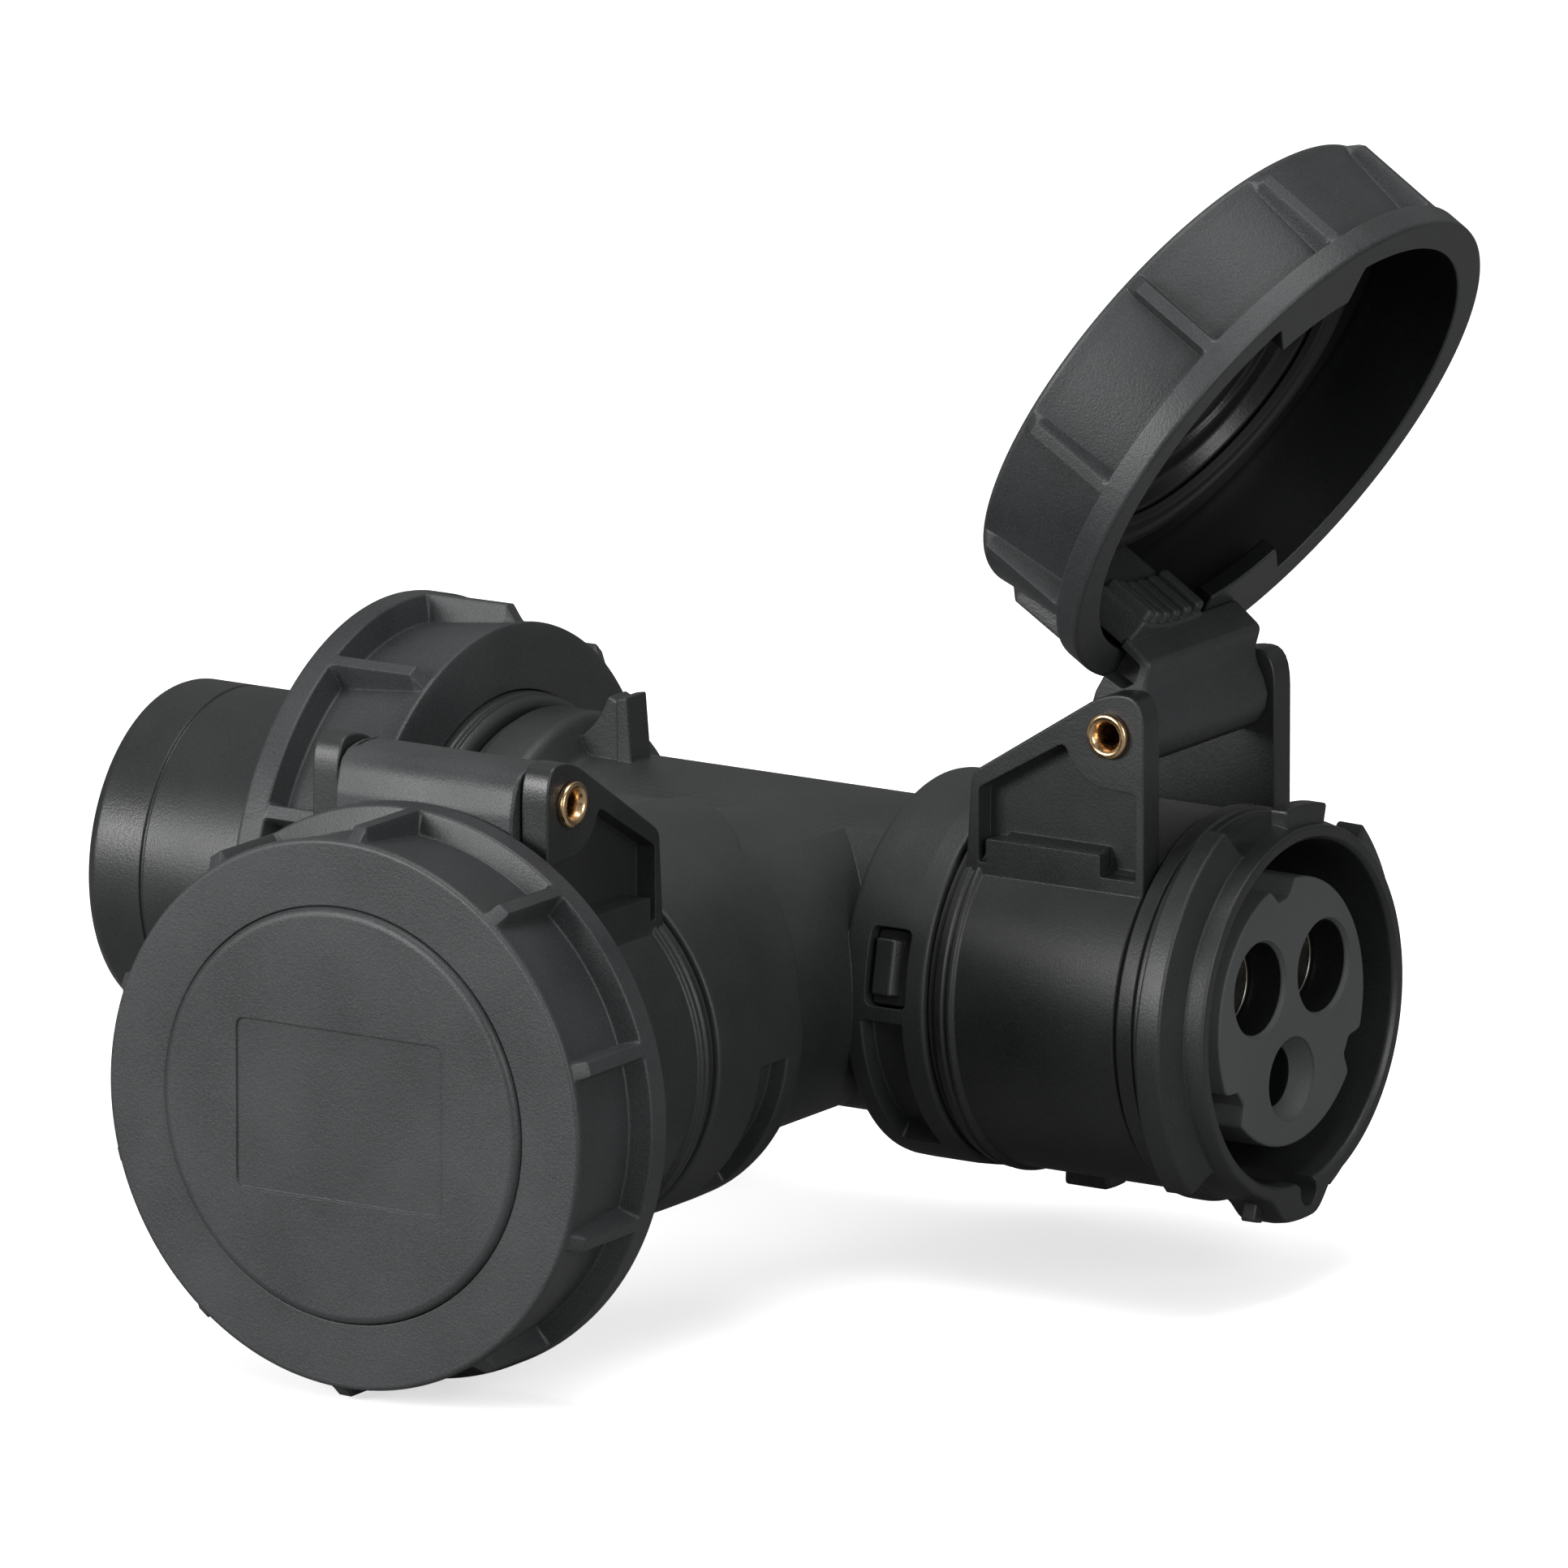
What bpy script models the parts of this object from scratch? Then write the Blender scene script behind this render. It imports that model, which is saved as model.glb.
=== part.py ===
"""Weatherproof 3-pin power splitter: one plug inlet, a socket in line with it and a socket on the side.

Every connector is built in its own frame: +X points out of its mouth, +Z is up, and the origin is the centre
of its front face. Three empties place those frames on the tee.
"""
import math

import bmesh
import bpy
from mathutils import Matrix, Vector

MM = 0.001
GAP = 0.3 * MM                      # clearance between neighbouring parts

# Tee
TUBE_R = 20.3 * MM
TUBE_BORE_R = 17.7 * MM
ARM_INSET = 0.15 * MM               # the side arm is this much slimmer, inside and out
COLLAR_R = 24.8 * MM
COLLAR_LENGTH = 12.6 * MM
SIDE_COLLAR_LENGTH = 17.4 * MM
SEAL_SLOT = 1.4 * MM                # space for the rubber ring between a collar and a connector
INLINE_FACE = 71.6 * MM             # tee centre to the front face of the socket in line
SIDE_FACE = 103.4 * MM              # tee centre to the front face of the side socket
PLUG_FACE = 98.5 * MM               # tee centre to the open end of the plug
FIN_FRONT = -27.6 * MM              # the grip fin on top of the run
FIN_BACK = -40.0 * MM
FIN_FOOT = TUBE_R - 2.0 * MM
FIN_TOP = 28.5 * MM
FIN_THICKNESS = 4.8 * MM

# Socket
SHELL_LENGTH = 39.6 * MM            # front face to the back rim
SHELL_R = 24.2 * MM
SHELL_LIP_R = 23.7 * MM
SHELL_BORE_R = 22.05 * MM
SHELL_BORE_DEPTH = 33.0 * MM
SPIGOT_R = 21.3 * MM
SPIGOT_LENGTH = 9.6 * MM
SPIGOT_WALL = 2.6 * MM
BAND_R = 25.1 * MM                  # raised band round the barrel
BAND_FRONT = -9.9 * MM
BAND_BACK = -12.1 * MM
KEYWAY_R = 25.6 * MM                # outer end of the slot that takes the plug's key
KEYWAY_WIDTH = 3.0 * MM
RAMP_R = 27.3 * MM
RAMP_FRONT = -3.0 * MM
RAMP_BACK = -7.6 * MM
INSERT_R = 17.2 * MM
INSERT_FACE = -1.7 * MM
PIN_CIRCLE_R = 8.7 * MM
ENTRY_R = 5.9 * MM
EARTH_ENTRY_R = 5.4 * MM
CONTACT_FRONT = -5.5 * MM           # the wide mouth of a contact sleeve
CONTACT_THROAT = -11.0 * MM         # where it has narrowed to the pin
CONTACT_BACK = -30.0 * MM

# Hinge and lid, in the socket's frame with the lid closed
HINGE_X = -17.9 * MM
HINGE_Z = 37.0 * MM
EAR_OUT = 17.5 * MM
EAR_IN = 13.6 * MM
RIVET_R = 2.1 * MM
RIVET_HEAD_R = 3.0 * MM
EAR_R = 5.0 * MM                    # the ear's round top
EAR_FOOT_Z = 16.5 * MM
EAR_BACK_X = -39.3 * MM
EAR_BACK_Z = 29.7 * MM
OPEN_ANGLE = math.radians(147.8)
RING_FRONT = 6.8 * MM
RING_DEPTH = 18.0 * MM
RING_R = 35.0 * MM
RING_FLANGE_R = 36.3 * MM
RING_FLANGE = 3.6 * MM              # width of the flange at the open end
RING_PANEL_R = 33.7 * MM
RING_BORE_R = 32.1 * MM
RING_PLATE = 2.6 * MM
RING_RIBS = 10
RING_RIB_WIDTH = 3.2 * MM
INLINE_RIB_PHASE = math.radians(17.5)
SIDE_RIB_PHASE = math.radians(-2.0)
PLUG_RIB_PHASE = math.radians(-7.0)
CAP_R = 26.6 * MM
CAP_FLANGE_R = 31.3 * MM
LUG_IN_R = 26.2 * MM
LUG_CENTRE = math.radians(-26.3)    # from the top, towards the socket frame's -Y side
LUG_WIDTH = math.radians(27.0)
LUG_DEPTH = 2.4 * MM
KNUCKLE_END = EAR_IN - 0.4 * MM     # the knuckle fills the space between the ears
KNUCKLE_R = 4.7 * MM
SPRING_POCKET_R = 4.1 * MM          # hollow in the near end of the knuckle, which hides the spring
SPRING_POCKET_END = -8.0 * MM
LABEL_WIDTH = 30.5 * MM
LABEL_HEIGHT = 21.7 * MM
LABEL_DEPTH = 0.4 * MM

# Plug
SHROUD_R = 21.75 * MM
SHROUD_BORE_R = 19.4 * MM
SHROUD_DEPTH = 34.0 * MM
PLUG_RING_OPEN = -32.2 * MM         # the ring's open end, in the plug's frame
PLUG_HUB_R = 26.0 * MM
PLUG_RING_FLANGE_R = 37.0 * MM
PIN_R = 2.5 * MM
EARTH_PIN_R = 3.5 * MM
PIN_TIP = -6.0 * MM
PLUG_BACK = 53.2 * MM               # open end to the hub's back rim
CONTACTS = (                        # name, angle from the top towards -Y, pin radius
    ("earth", math.pi, EARTH_PIN_R),
    ("line", math.radians(60), PIN_R),
    ("neutral", math.radians(-60), PIN_R))

# Snap window in a collar
WINDOW_ANGLE = math.radians(79)
WINDOW_LENGTH = 6.0 * MM
WINDOW_WIDTH = 10.2 * MM
WINDOW_FROM_ROOT = 7.0 * MM

# Wires
LEAD_R = 1.6 * MM

BIG = 32                            # sides of a large round
SMALL = 16                          # sides of a small round

BLACK = ((0.028, 0.030, 0.032), 0.52, 0.0)
SATIN = ((0.024, 0.026, 0.028), 0.42, 0.0)
GREY = ((0.050, 0.053, 0.056), 0.65, 0.0)
RUBBER = ((0.012, 0.012, 0.013), 0.80, 0.0)
BRASS = ((0.62, 0.44, 0.22), 0.28, 1.0)
STEEL = ((0.55, 0.56, 0.58), 0.30, 1.0)
BROWN = ((0.22, 0.10, 0.05), 0.45, 0.0)
BLUE = ((0.05, 0.14, 0.45), 0.45, 0.0)
GREEN = ((0.25, 0.50, 0.08), 0.45, 0.0)

# Turns a flat outline to face +X, with its +X axis up and its +Y axis towards -Y
SECTOR_TURN = Matrix(((0, 0, 1), (0, -1, 0), (1, 0, 0))).to_euler()


def clear_scene():
    for obj in list(bpy.data.objects):
        bpy.data.objects.remove(obj, do_unlink=True)
    for group in list(bpy.data.collections):
        bpy.data.collections.remove(group)


def make_collection(name):
    group = bpy.data.collections.new(name)
    bpy.context.scene.collection.children.link(group)
    return group


def frame_at(name, location, parent=None, rotation=(0.0, 0.0, 0.0)):
    empty = bpy.data.objects.new(name, None)
    empty.empty_display_size = 0.01
    empty.location = location
    empty.rotation_euler = rotation
    empty.parent = parent
    PARTS.objects.link(empty)
    return empty


def place(name, mesh, parent, location=(0.0, 0.0, 0.0), rotation=(0.0, 0.0, 0.0)):
    obj = bpy.data.objects.new(name, mesh)
    obj.location = location
    obj.rotation_euler = rotation
    obj.parent = parent
    PARTS.objects.link(obj)
    return obj


def finish(obj, look):
    colour, roughness, metallic = look
    material = bpy.data.materials.new(obj.name)
    material.use_nodes = True
    shader = material.node_tree.nodes["Principled BSDF"]
    shader.inputs["Base Color"].default_value = (*colour, 1.0)
    shader.inputs["Roughness"].default_value = roughness
    shader.inputs["Metallic"].default_value = metallic
    obj.data.materials.clear()
    obj.data.materials.append(material)
    return obj


def smooth(obj):
    for face in obj.data.polygons:
        face.use_smooth = True
    return obj


def turned(name, profile, parent, closed=True, steps=BIG, centre=(0.0, 0.0)):
    """Turn (position along X, radius) points about an axis along X through centre (Y, Z)."""
    mesh = bpy.data.meshes.new(name)
    count = len(profile)
    edges = [(i, i + 1) for i in range(count - 1)]
    if closed:
        edges.append((count - 1, 0))
    mesh.from_pydata([(radius, 0.0, along) for along, radius in profile], edges, [])
    obj = place(name, mesh, parent, (0.0, *centre), (0.0, math.pi / 2, 0.0))
    screw = obj.modifiers.new("Turn", "SCREW")
    screw.steps = steps
    screw.render_steps = steps
    screw.use_merge_vertices = True
    screw.merge_threshold = 0.00001
    screw.use_smooth_shade = True
    return obj


def tube(name, back, front, outer, inner, parent, steps=BIG, centre=(0.0, 0.0)):
    return turned(name, [(front, outer), (back, outer), (back, inner), (front, inner)],
                  parent, True, steps, centre)


def rod(name, back, front, radius, parent, steps=SMALL, centre=(0.0, 0.0)):
    return turned(name, [(front, 0.0), (front, radius), (back, radius), (back, 0.0)],
                  parent, False, steps, centre)


def cross_rod(name, low, high, radius, parent, location=(0.0, 0.0, 0.0), steps=SMALL):
    """A rod along Y from low to high."""
    obj = rod(name, -high, -low, radius, parent, steps)
    obj.rotation_euler = (math.pi / 2, 0.0, 0.0)
    obj.location = location
    return obj


def curve_to_mesh(curve_obj, name, parent):
    graph = bpy.context.evaluated_depsgraph_get()
    graph.update()
    mesh = bpy.data.meshes.new_from_object(curve_obj.evaluated_get(graph))
    work = bmesh.new()
    work.from_mesh(mesh)
    bmesh.ops.remove_doubles(work, verts=work.verts, dist=0.000001)
    bmesh.ops.recalc_face_normals(work, faces=work.faces)
    work.to_mesh(mesh)
    work.free()
    bpy.data.objects.remove(curve_obj, do_unlink=True)
    mesh.name = name
    return place(name, mesh, parent)


def plate(name, outline, low, high, parent, location=(0.0, 0.0, 0.0), rotation=(0.0, 0.0, 0.0)):
    """Extrude a flat outline in XY from low to high along Z, then place it."""
    curve = bpy.data.curves.new(name, "CURVE")
    curve.dimensions = "2D"
    curve.fill_mode = "BOTH"
    curve.extrude = (high - low) / 2
    spline = curve.splines.new("POLY")
    spline.points.add(len(outline) - 1)
    for point, (x, y) in zip(spline.points, outline):
        point.co = (x, y, 0.0, 1.0)
    spline.use_cyclic_u = True
    curve_obj = bpy.data.objects.new(name, curve)
    PARTS.objects.link(curve_obj)
    obj = curve_to_mesh(curve_obj, name, parent)
    for vertex in obj.data.vertices:
        vertex.co.z += (low + high) / 2
    obj.location = location
    obj.rotation_euler = rotation
    return obj


def side_plate(name, outline, low, high, parent):
    """A plate whose outline is in XZ and whose thickness runs along Y from low to high."""
    return plate(name, outline, -high, -low, parent, rotation=(math.pi / 2, 0.0, 0.0))


def arc(radius, start, end, count, centre=(0.0, 0.0)):
    step = (end - start) / (count - 1)
    return [(centre[0] + radius * math.cos(start + step * i),
             centre[1] + radius * math.sin(start + step * i)) for i in range(count)]


def sector(name, inner, outer, start, end, back, front, parent):
    """Part of a ring about X. Angles run from the top (+Z) towards -Y."""
    count = max(3, int(abs(end - start) / (2 * math.pi) * BIG) + 2)
    outline = arc(outer, start, end, count) + arc(inner, end, start, count)
    return plate(name, outline, back, front, parent, rotation=SECTOR_TURN)


def block(name, size, location, parent, rotation=(0.0, 0.0, 0.0)):
    mesh = bpy.data.meshes.new(name)
    work = bmesh.new()
    bmesh.ops.create_cube(work, size=1.0)
    bmesh.ops.scale(work, vec=size, verts=work.verts)
    work.to_mesh(mesh)
    work.free()
    return place(name, mesh, parent, location, rotation)


def combine(body, tool, operation):
    change = body.modifiers.new(tool.name, "BOOLEAN")
    change.solver = "EXACT"
    change.operation = operation
    change.object = tool
    PARTS.objects.unlink(tool)
    CUTTERS.objects.link(tool)
    tool.hide_render = True
    tool.display_type = "WIRE"


def join(body, *tools):
    for tool in tools:
        combine(body, tool, "UNION")


def cut(body, *tools):
    for tool in tools:
        combine(body, tool, "DIFFERENCE")


def around(angle, radius):
    """(Y, Z) of a point at an angle from the top towards -Y."""
    return (-radius * math.sin(angle), radius * math.cos(angle))


def build_tee(base, inline, side):
    inline_end = INLINE_FACE - SHELL_LENGTH - SEAL_SLOT
    side_end = SIDE_FACE - SHELL_LENGTH - SEAL_SLOT
    plug_end = PLUG_FACE - PLUG_BACK - SEAL_SLOT
    inline_root = inline_end - COLLAR_LENGTH
    run = turned("tee_housing", [
        (inline_end, 0.0), (inline_end, COLLAR_R), (inline_root, COLLAR_R), (inline_root, TUBE_R),
        (-plug_end + 9.5 * MM, TUBE_R), (-plug_end + 7.0 * MM, COLLAR_R), (-plug_end, COLLAR_R),
        (-plug_end, 0.0)], base, closed=False)
    arm = turned("tee_arm", [
        (side_end, 0.0), (side_end, COLLAR_R), (side_end - SIDE_COLLAR_LENGTH, COLLAR_R),
        (side_end - SIDE_COLLAR_LENGTH, TUBE_R - ARM_INSET), (0.0, TUBE_R - ARM_INSET), (0.0, 0.0)], base,
        closed=False)
    arm.rotation_euler = (math.pi / 2, 0.0, 0.0)
    join(run, arm)
    fin = side_plate("fin", [
        (FIN_FRONT, FIN_FOOT), (FIN_FRONT - 0.8 * MM, FIN_TOP), (FIN_FRONT - 3.8 * MM, FIN_TOP),
        (FIN_FRONT - 7.0 * MM, FIN_TOP - 5.1 * MM), (FIN_BACK, FIN_FOOT)], -FIN_THICKNESS / 2, FIN_THICKNESS / 2, base)
    join(run, fin)
    seat = SPIGOT_LENGTH - SEAL_SLOT + GAP
    seat_r = SPIGOT_R + GAP
    past = 1.0 * MM
    bore = turned("bore_run", [
        (inline_end + past, 0.0), (inline_end + past, seat_r), (inline_end - seat, seat_r),
        (inline_end - seat, TUBE_BORE_R), (seat - plug_end, TUBE_BORE_R), (seat - plug_end, seat_r),
        (-plug_end - past, seat_r), (-plug_end - past, 0.0)], base, closed=False)
    bore_arm = turned("bore_arm", [
        (side_end + past, 0.0), (side_end + past, seat_r), (side_end - seat, seat_r),
        (side_end - seat, TUBE_BORE_R - ARM_INSET), (0.0, TUBE_BORE_R - ARM_INSET), (0.0, 0.0)], base,
        closed=False)
    bore_arm.rotation_euler = (math.pi / 2, 0.0, 0.0)
    cut(run, bore, bore_arm)
    cut(run, *collar_cuts("inline", inline), *collar_cuts("side", side))
    return finish(run, BLACK)


def collar_root():
    """Where the tee's collar starts behind a socket, in the socket's frame."""
    return -SHELL_LENGTH - SEAL_SLOT - COLLAR_LENGTH


def collar_cuts(label, seat):
    """A window for the snap tongue and three curved pockets in the collar behind a socket."""
    window = block(label + "_window", (WINDOW_LENGTH, WINDOW_WIDTH, 8.0 * MM),
                   (collar_root() + WINDOW_FROM_ROOT, *around(WINDOW_ANGLE, COLLAR_R)), seat,
                   (WINDOW_ANGLE, 0.0, 0.0))
    cuts = [window]
    for start, end in ((5, 40), (98, 150), (-150, -98)):
        cuts.append(sector("%s_pocket_%d" % (label, start), COLLAR_R - 1.8 * MM, COLLAR_R + 2.0 * MM,
                           math.radians(start), math.radians(end), collar_root() + 3.2 * MM,
                           collar_root() + 8.5 * MM, seat))
    return cuts


def build_latch(label, seat):
    tongue_r = SPIGOT_R + 1.1 * MM
    along = collar_root() + WINDOW_FROM_ROOT
    tongue = block(label + "_latch", (WINDOW_LENGTH - 2 * GAP, WINDOW_WIDTH - 2 * GAP, 1.2 * MM),
                   (along, *around(WINDOW_ANGLE, tongue_r)), seat, (WINDOW_ANGLE, 0.0, 0.0))
    nib = block(label + "_latch_nib", (2.0 * MM, WINDOW_WIDTH - 4.0 * MM, 1.6 * MM),
                (along - 1.2 * MM, *around(WINDOW_ANGLE, tongue_r + 0.9 * MM)), seat, (WINDOW_ANGLE, 0.0, 0.0))
    join(tongue, nib)
    return finish(tongue, SATIN)


def build_shell(label, seat):
    rim = SHELL_LENGTH - 2.4 * MM
    end = SHELL_LENGTH + SPIGOT_LENGTH
    past = 1.0 * MM
    shell = turned(label + "_socket_shell", [
        (0.0, 0.0), (0.0, SHELL_LIP_R), (-2.1 * MM, SHELL_R), (BAND_FRONT, SHELL_R), (BAND_FRONT, BAND_R),
        (BAND_BACK, BAND_R), (BAND_BACK, SHELL_R), (-rim, SHELL_R), (-rim, COLLAR_R), (-SHELL_LENGTH, COLLAR_R),
        (-SHELL_LENGTH, SPIGOT_R), (-end, SPIGOT_R), (-end, 0.0)], seat, closed=False)
    for side in (0, 1):
        turn = math.pi * side
        ramp = sector("%s_ramp_%d" % (label, side), SHELL_R - 0.8 * MM, RAMP_R, turn + math.radians(26),
                      turn + math.radians(135), RAMP_BACK, RAMP_FRONT, seat)
        join(shell, ramp)
    key = sector(label + "_key_bulge", SHELL_R - 0.8 * MM, SHELL_R + 3.4 * MM, math.radians(173),
                 math.radians(187), -7.0 * MM, -GAP, seat)
    tab = sector(label + "_top_tab", SHELL_R - 0.8 * MM, SHELL_R + 2.1 * MM, math.radians(-10.5),
                 math.radians(9.0), -4.0 * MM, -GAP, seat)
    lug = sector(label + "_bottom_lug", SHELL_R - 0.8 * MM, SHELL_R + 2.0 * MM, math.radians(174),
                 math.radians(186), -34.0 * MM, -27.5 * MM, seat)
    join(shell, key, tab, lug)
    keyway = block(label + "_keyway", (8.0 * MM, KEYWAY_WIDTH, 6.0 * MM), (-2.0 * MM, 0.0, 3.0 * MM - KEYWAY_R), seat)
    inner_keyway = block(label + "_inner_keyway", (20.0 * MM, KEYWAY_WIDTH - 0.6 * MM, 3.0 * MM),
                         (-14.0 * MM, 0.0, 1.5 * MM - SHELL_BORE_R - 1.0 * MM), seat)
    for side in (-1, 1):
        ear = build_ear("%s_ear_%s" % (label, "near" if side < 0 else "far"), side, seat)
        join(shell, ear)
    shelf = SHELL_BORE_DEPTH + 3.0 * MM
    bore = turned(label + "_bore", [
        (past, 0.0), (past, SHELL_BORE_R), (-SHELL_BORE_DEPTH, SHELL_BORE_R), (-SHELL_BORE_DEPTH, INSERT_R + GAP),
        (-shelf, INSERT_R + GAP), (-shelf, SPIGOT_R - SPIGOT_WALL), (-end - past, SPIGOT_R - SPIGOT_WALL),
        (-end - past, 0.0)], seat, closed=False)
    cut(shell, keyway, inner_keyway, bore)
    cut(shell, cross_rod(label + "_rivet_hole", -0.03, 0.03, RIVET_R + GAP, seat, (HINGE_X, 0.0, HINGE_Z)))
    return finish(shell, SATIN)


def build_ear(name, side, seat):
    """One hinge ear: round at the rivet, sloping down to a back corner and sunk in the barrel."""
    outline = [(HINGE_X + EAR_R, EAR_FOOT_Z)]
    outline += arc(EAR_R, 0.0, math.radians(108), 7, (HINGE_X, HINGE_Z))
    outline += [(EAR_BACK_X + 1.0 * MM, EAR_BACK_Z), (EAR_BACK_X, EAR_BACK_Z - 1.4 * MM), (EAR_BACK_X, EAR_FOOT_Z)]
    low, high = sorted((side * EAR_IN, side * EAR_OUT))
    return side_plate(name, outline, low, high, seat)


def build_insert(label, seat):
    insert = rod(label + "_contact_insert", -SHELL_BORE_DEPTH - 2.8 * MM, INSERT_FACE, INSERT_R, seat, BIG)
    for name, angle, contact_r in CONTACTS:
        entry = EARTH_ENTRY_R if name == "earth" else ENTRY_R
        y, z = around(angle, PIN_CIRCLE_R)
        mouth = rod("%s_entry_%s" % (label, name), -SHELL_LENGTH, 1.0 * MM, entry, seat, SMALL, (y, z))
        cut(insert, mouth)
    return finish(insert, GREY)


def build_contact(label, name, angle, pin_r, seat):
    outer = (EARTH_ENTRY_R if name == "earth" else ENTRY_R) - GAP
    inner = pin_r + 0.6 * MM
    mouth = outer - 0.7 * MM
    sleeve = turned("%s_contact_%s" % (label, name), [
        (CONTACT_FRONT, outer), (CONTACT_BACK, outer), (CONTACT_BACK, inner), (CONTACT_THROAT, inner),
        (CONTACT_FRONT - 3.5 * MM, mouth), (CONTACT_FRONT, mouth)], seat, True, SMALL,
        around(angle, PIN_CIRCLE_R))
    return finish(sleeve, BRASS)


def build_rivet(label, seat):
    half = EAR_OUT + GAP
    rivet = turned(label + "_hinge_pin", [
        (half + 0.7 * MM, RIVET_HEAD_R - 0.5 * MM), (half, RIVET_HEAD_R), (half, RIVET_R), (-half, RIVET_R),
        (-half, RIVET_HEAD_R), (-half - 0.7 * MM, RIVET_HEAD_R - 0.5 * MM), (-half - 0.7 * MM, RIVET_R - 0.7 * MM),
        (half + 0.7 * MM, RIVET_R - 0.7 * MM)], seat, True, SMALL)
    rivet.rotation_euler = (math.pi / 2, 0.0, 0.0)
    rivet.location = (HINGE_X, 0.0, HINGE_Z)
    return finish(rivet, BRASS)


def wire(name, points, radius, parent, look):
    """A round wire through points, with flat ends."""
    curve = bpy.data.curves.new(name, "CURVE")
    curve.dimensions = "3D"
    curve.bevel_depth = radius
    curve.bevel_resolution = 2
    curve.use_fill_caps = True
    spline = curve.splines.new("POLY")
    spline.points.add(len(points) - 1)
    for point, place_at in zip(spline.points, points):
        point.co = (*place_at, 1.0)
    wire_curve = bpy.data.objects.new(name, curve)
    PARTS.objects.link(wire_curve)
    return finish(smooth(curve_to_mesh(wire_curve, name, parent)), look)


def build_spring(label, seat):
    """Torsion spring on the rivet between the near ear and the lid's knuckle."""
    wire_r = 0.45 * MM
    coil_r = RIVET_R + GAP + wire_r + 0.4 * MM
    start = -EAR_IN + GAP + wire_r
    end = SPRING_POCKET_END - GAP - wire_r
    per_turn = 8
    count = 3 * per_turn + 1
    points = []
    for i in range(count):
        angle = 2 * math.pi * i / per_turn
        along = start + (end - start) * i / (count - 1)
        points.append((HINGE_X + coil_r * math.cos(angle), along, HINGE_Z + coil_r * math.sin(angle)))
    return wire(label + "_lid_spring", points, wire_r, seat, STEEL)


def build_cap(label, lid):
    flange_front = RING_FRONT - RING_PLATE - GAP
    flange_back = flange_front - 2.2 * MM
    cap = turned(label + "_lid_cap", [
        (RING_FRONT, 0.0), (RING_FRONT, CAP_R - GAP), (flange_front, CAP_R - GAP), (flange_front, CAP_FLANGE_R),
        (flange_back, CAP_FLANGE_R), (flange_back, 20.0 * MM), (flange_back + 2.2 * MM, 19.0 * MM),
        (flange_back + 2.2 * MM, 0.0)], lid, closed=False)
    arm_in = 27.2 * MM
    arm_out = RING_BORE_R - 0.7 * MM
    arm_back = -12.0 * MM
    strap = sector(label + "_strap", arm_in, arm_out, math.radians(-9), math.radians(25.5), arm_back,
                   flange_front - 0.5 * MM, lid)
    web = side_plate(label + "_arm_web", [
        (-11.6 * MM, 27.3 * MM), (-11.6 * MM, 36.0 * MM), (-13.6 * MM, 40.6 * MM), (-20.0 * MM, 41.3 * MM),
        (HINGE_X - 4.6 * MM, HINGE_Z - 1.5 * MM), (-16.5 * MM, 28.2 * MM)], SPRING_POCKET_END, KNUCKLE_END, lid)
    axis_at = (HINGE_X, 0.0, HINGE_Z)
    knuckle = cross_rod(label + "_knuckle", -KNUCKLE_END, KNUCKLE_END, KNUCKLE_R, lid, axis_at)
    join(cap, strap, web, knuckle)
    hole = cross_rod(label + "_knuckle_hole", -0.03, 0.03, RIVET_R + GAP, lid, axis_at)
    pocket = cross_rod(label + "_spring_pocket", -KNUCKLE_END - 1.0 * MM, SPRING_POCKET_END, SPRING_POCKET_R, lid,
                       axis_at)
    panel = block(label + "_label_recess", (2 * LABEL_DEPTH, LABEL_WIDTH, LABEL_HEIGHT), (RING_FRONT, 0.0, 0.0), lid)
    cut(cap, hole, pocket, panel)
    return finish(cap, BLACK)


def build_ring(name, frame, open_end, cap_bore_r, flange_r, rib_phase):
    """A bayonet ring: front plate, ribbed wall, flanged open end and two inward lugs."""
    front = open_end + RING_DEPTH
    ring = turned(name, [
        (front, RING_R - 1.2 * MM), (front - 1.2 * MM, RING_R), (front - 2.4 * MM, RING_R),
        (front - 2.4 * MM, RING_PANEL_R), (open_end + RING_FLANGE, RING_PANEL_R), (open_end + RING_FLANGE, flange_r),
        (open_end, flange_r), (open_end, RING_BORE_R), (front - RING_PLATE, RING_BORE_R),
        (front - RING_PLATE, cap_bore_r), (front, cap_bore_r)], frame)
    rib_r = (RING_PANEL_R + flange_r) / 2 - 0.3 * MM
    for i in range(RING_RIBS):
        angle = rib_phase + 2 * math.pi * i / RING_RIBS
        y, z = around(angle, rib_r)
        rib = block("%s_rib_%d" % (name, i), (RING_DEPTH - 3.0 * MM, RING_RIB_WIDTH, flange_r - RING_PANEL_R),
                    ((open_end + front) / 2 + 0.2 * MM, y, z), frame, (angle, 0.0, 0.0))
        join(ring, rib)
    for side in (0, 1):
        centre = LUG_CENTRE + math.pi * side
        lug = sector("%s_lug_%d" % (name, side), LUG_IN_R, RING_BORE_R + 0.8 * MM, centre - LUG_WIDTH / 2,
                     centre + LUG_WIDTH / 2, open_end, open_end + LUG_DEPTH, frame)
        join(ring, lug)
    return finish(ring, BLACK)


def build_seal(name, back, front, outer, inner, frame):
    return finish(tube(name, back, front, outer, inner, frame), RUBBER)


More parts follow.
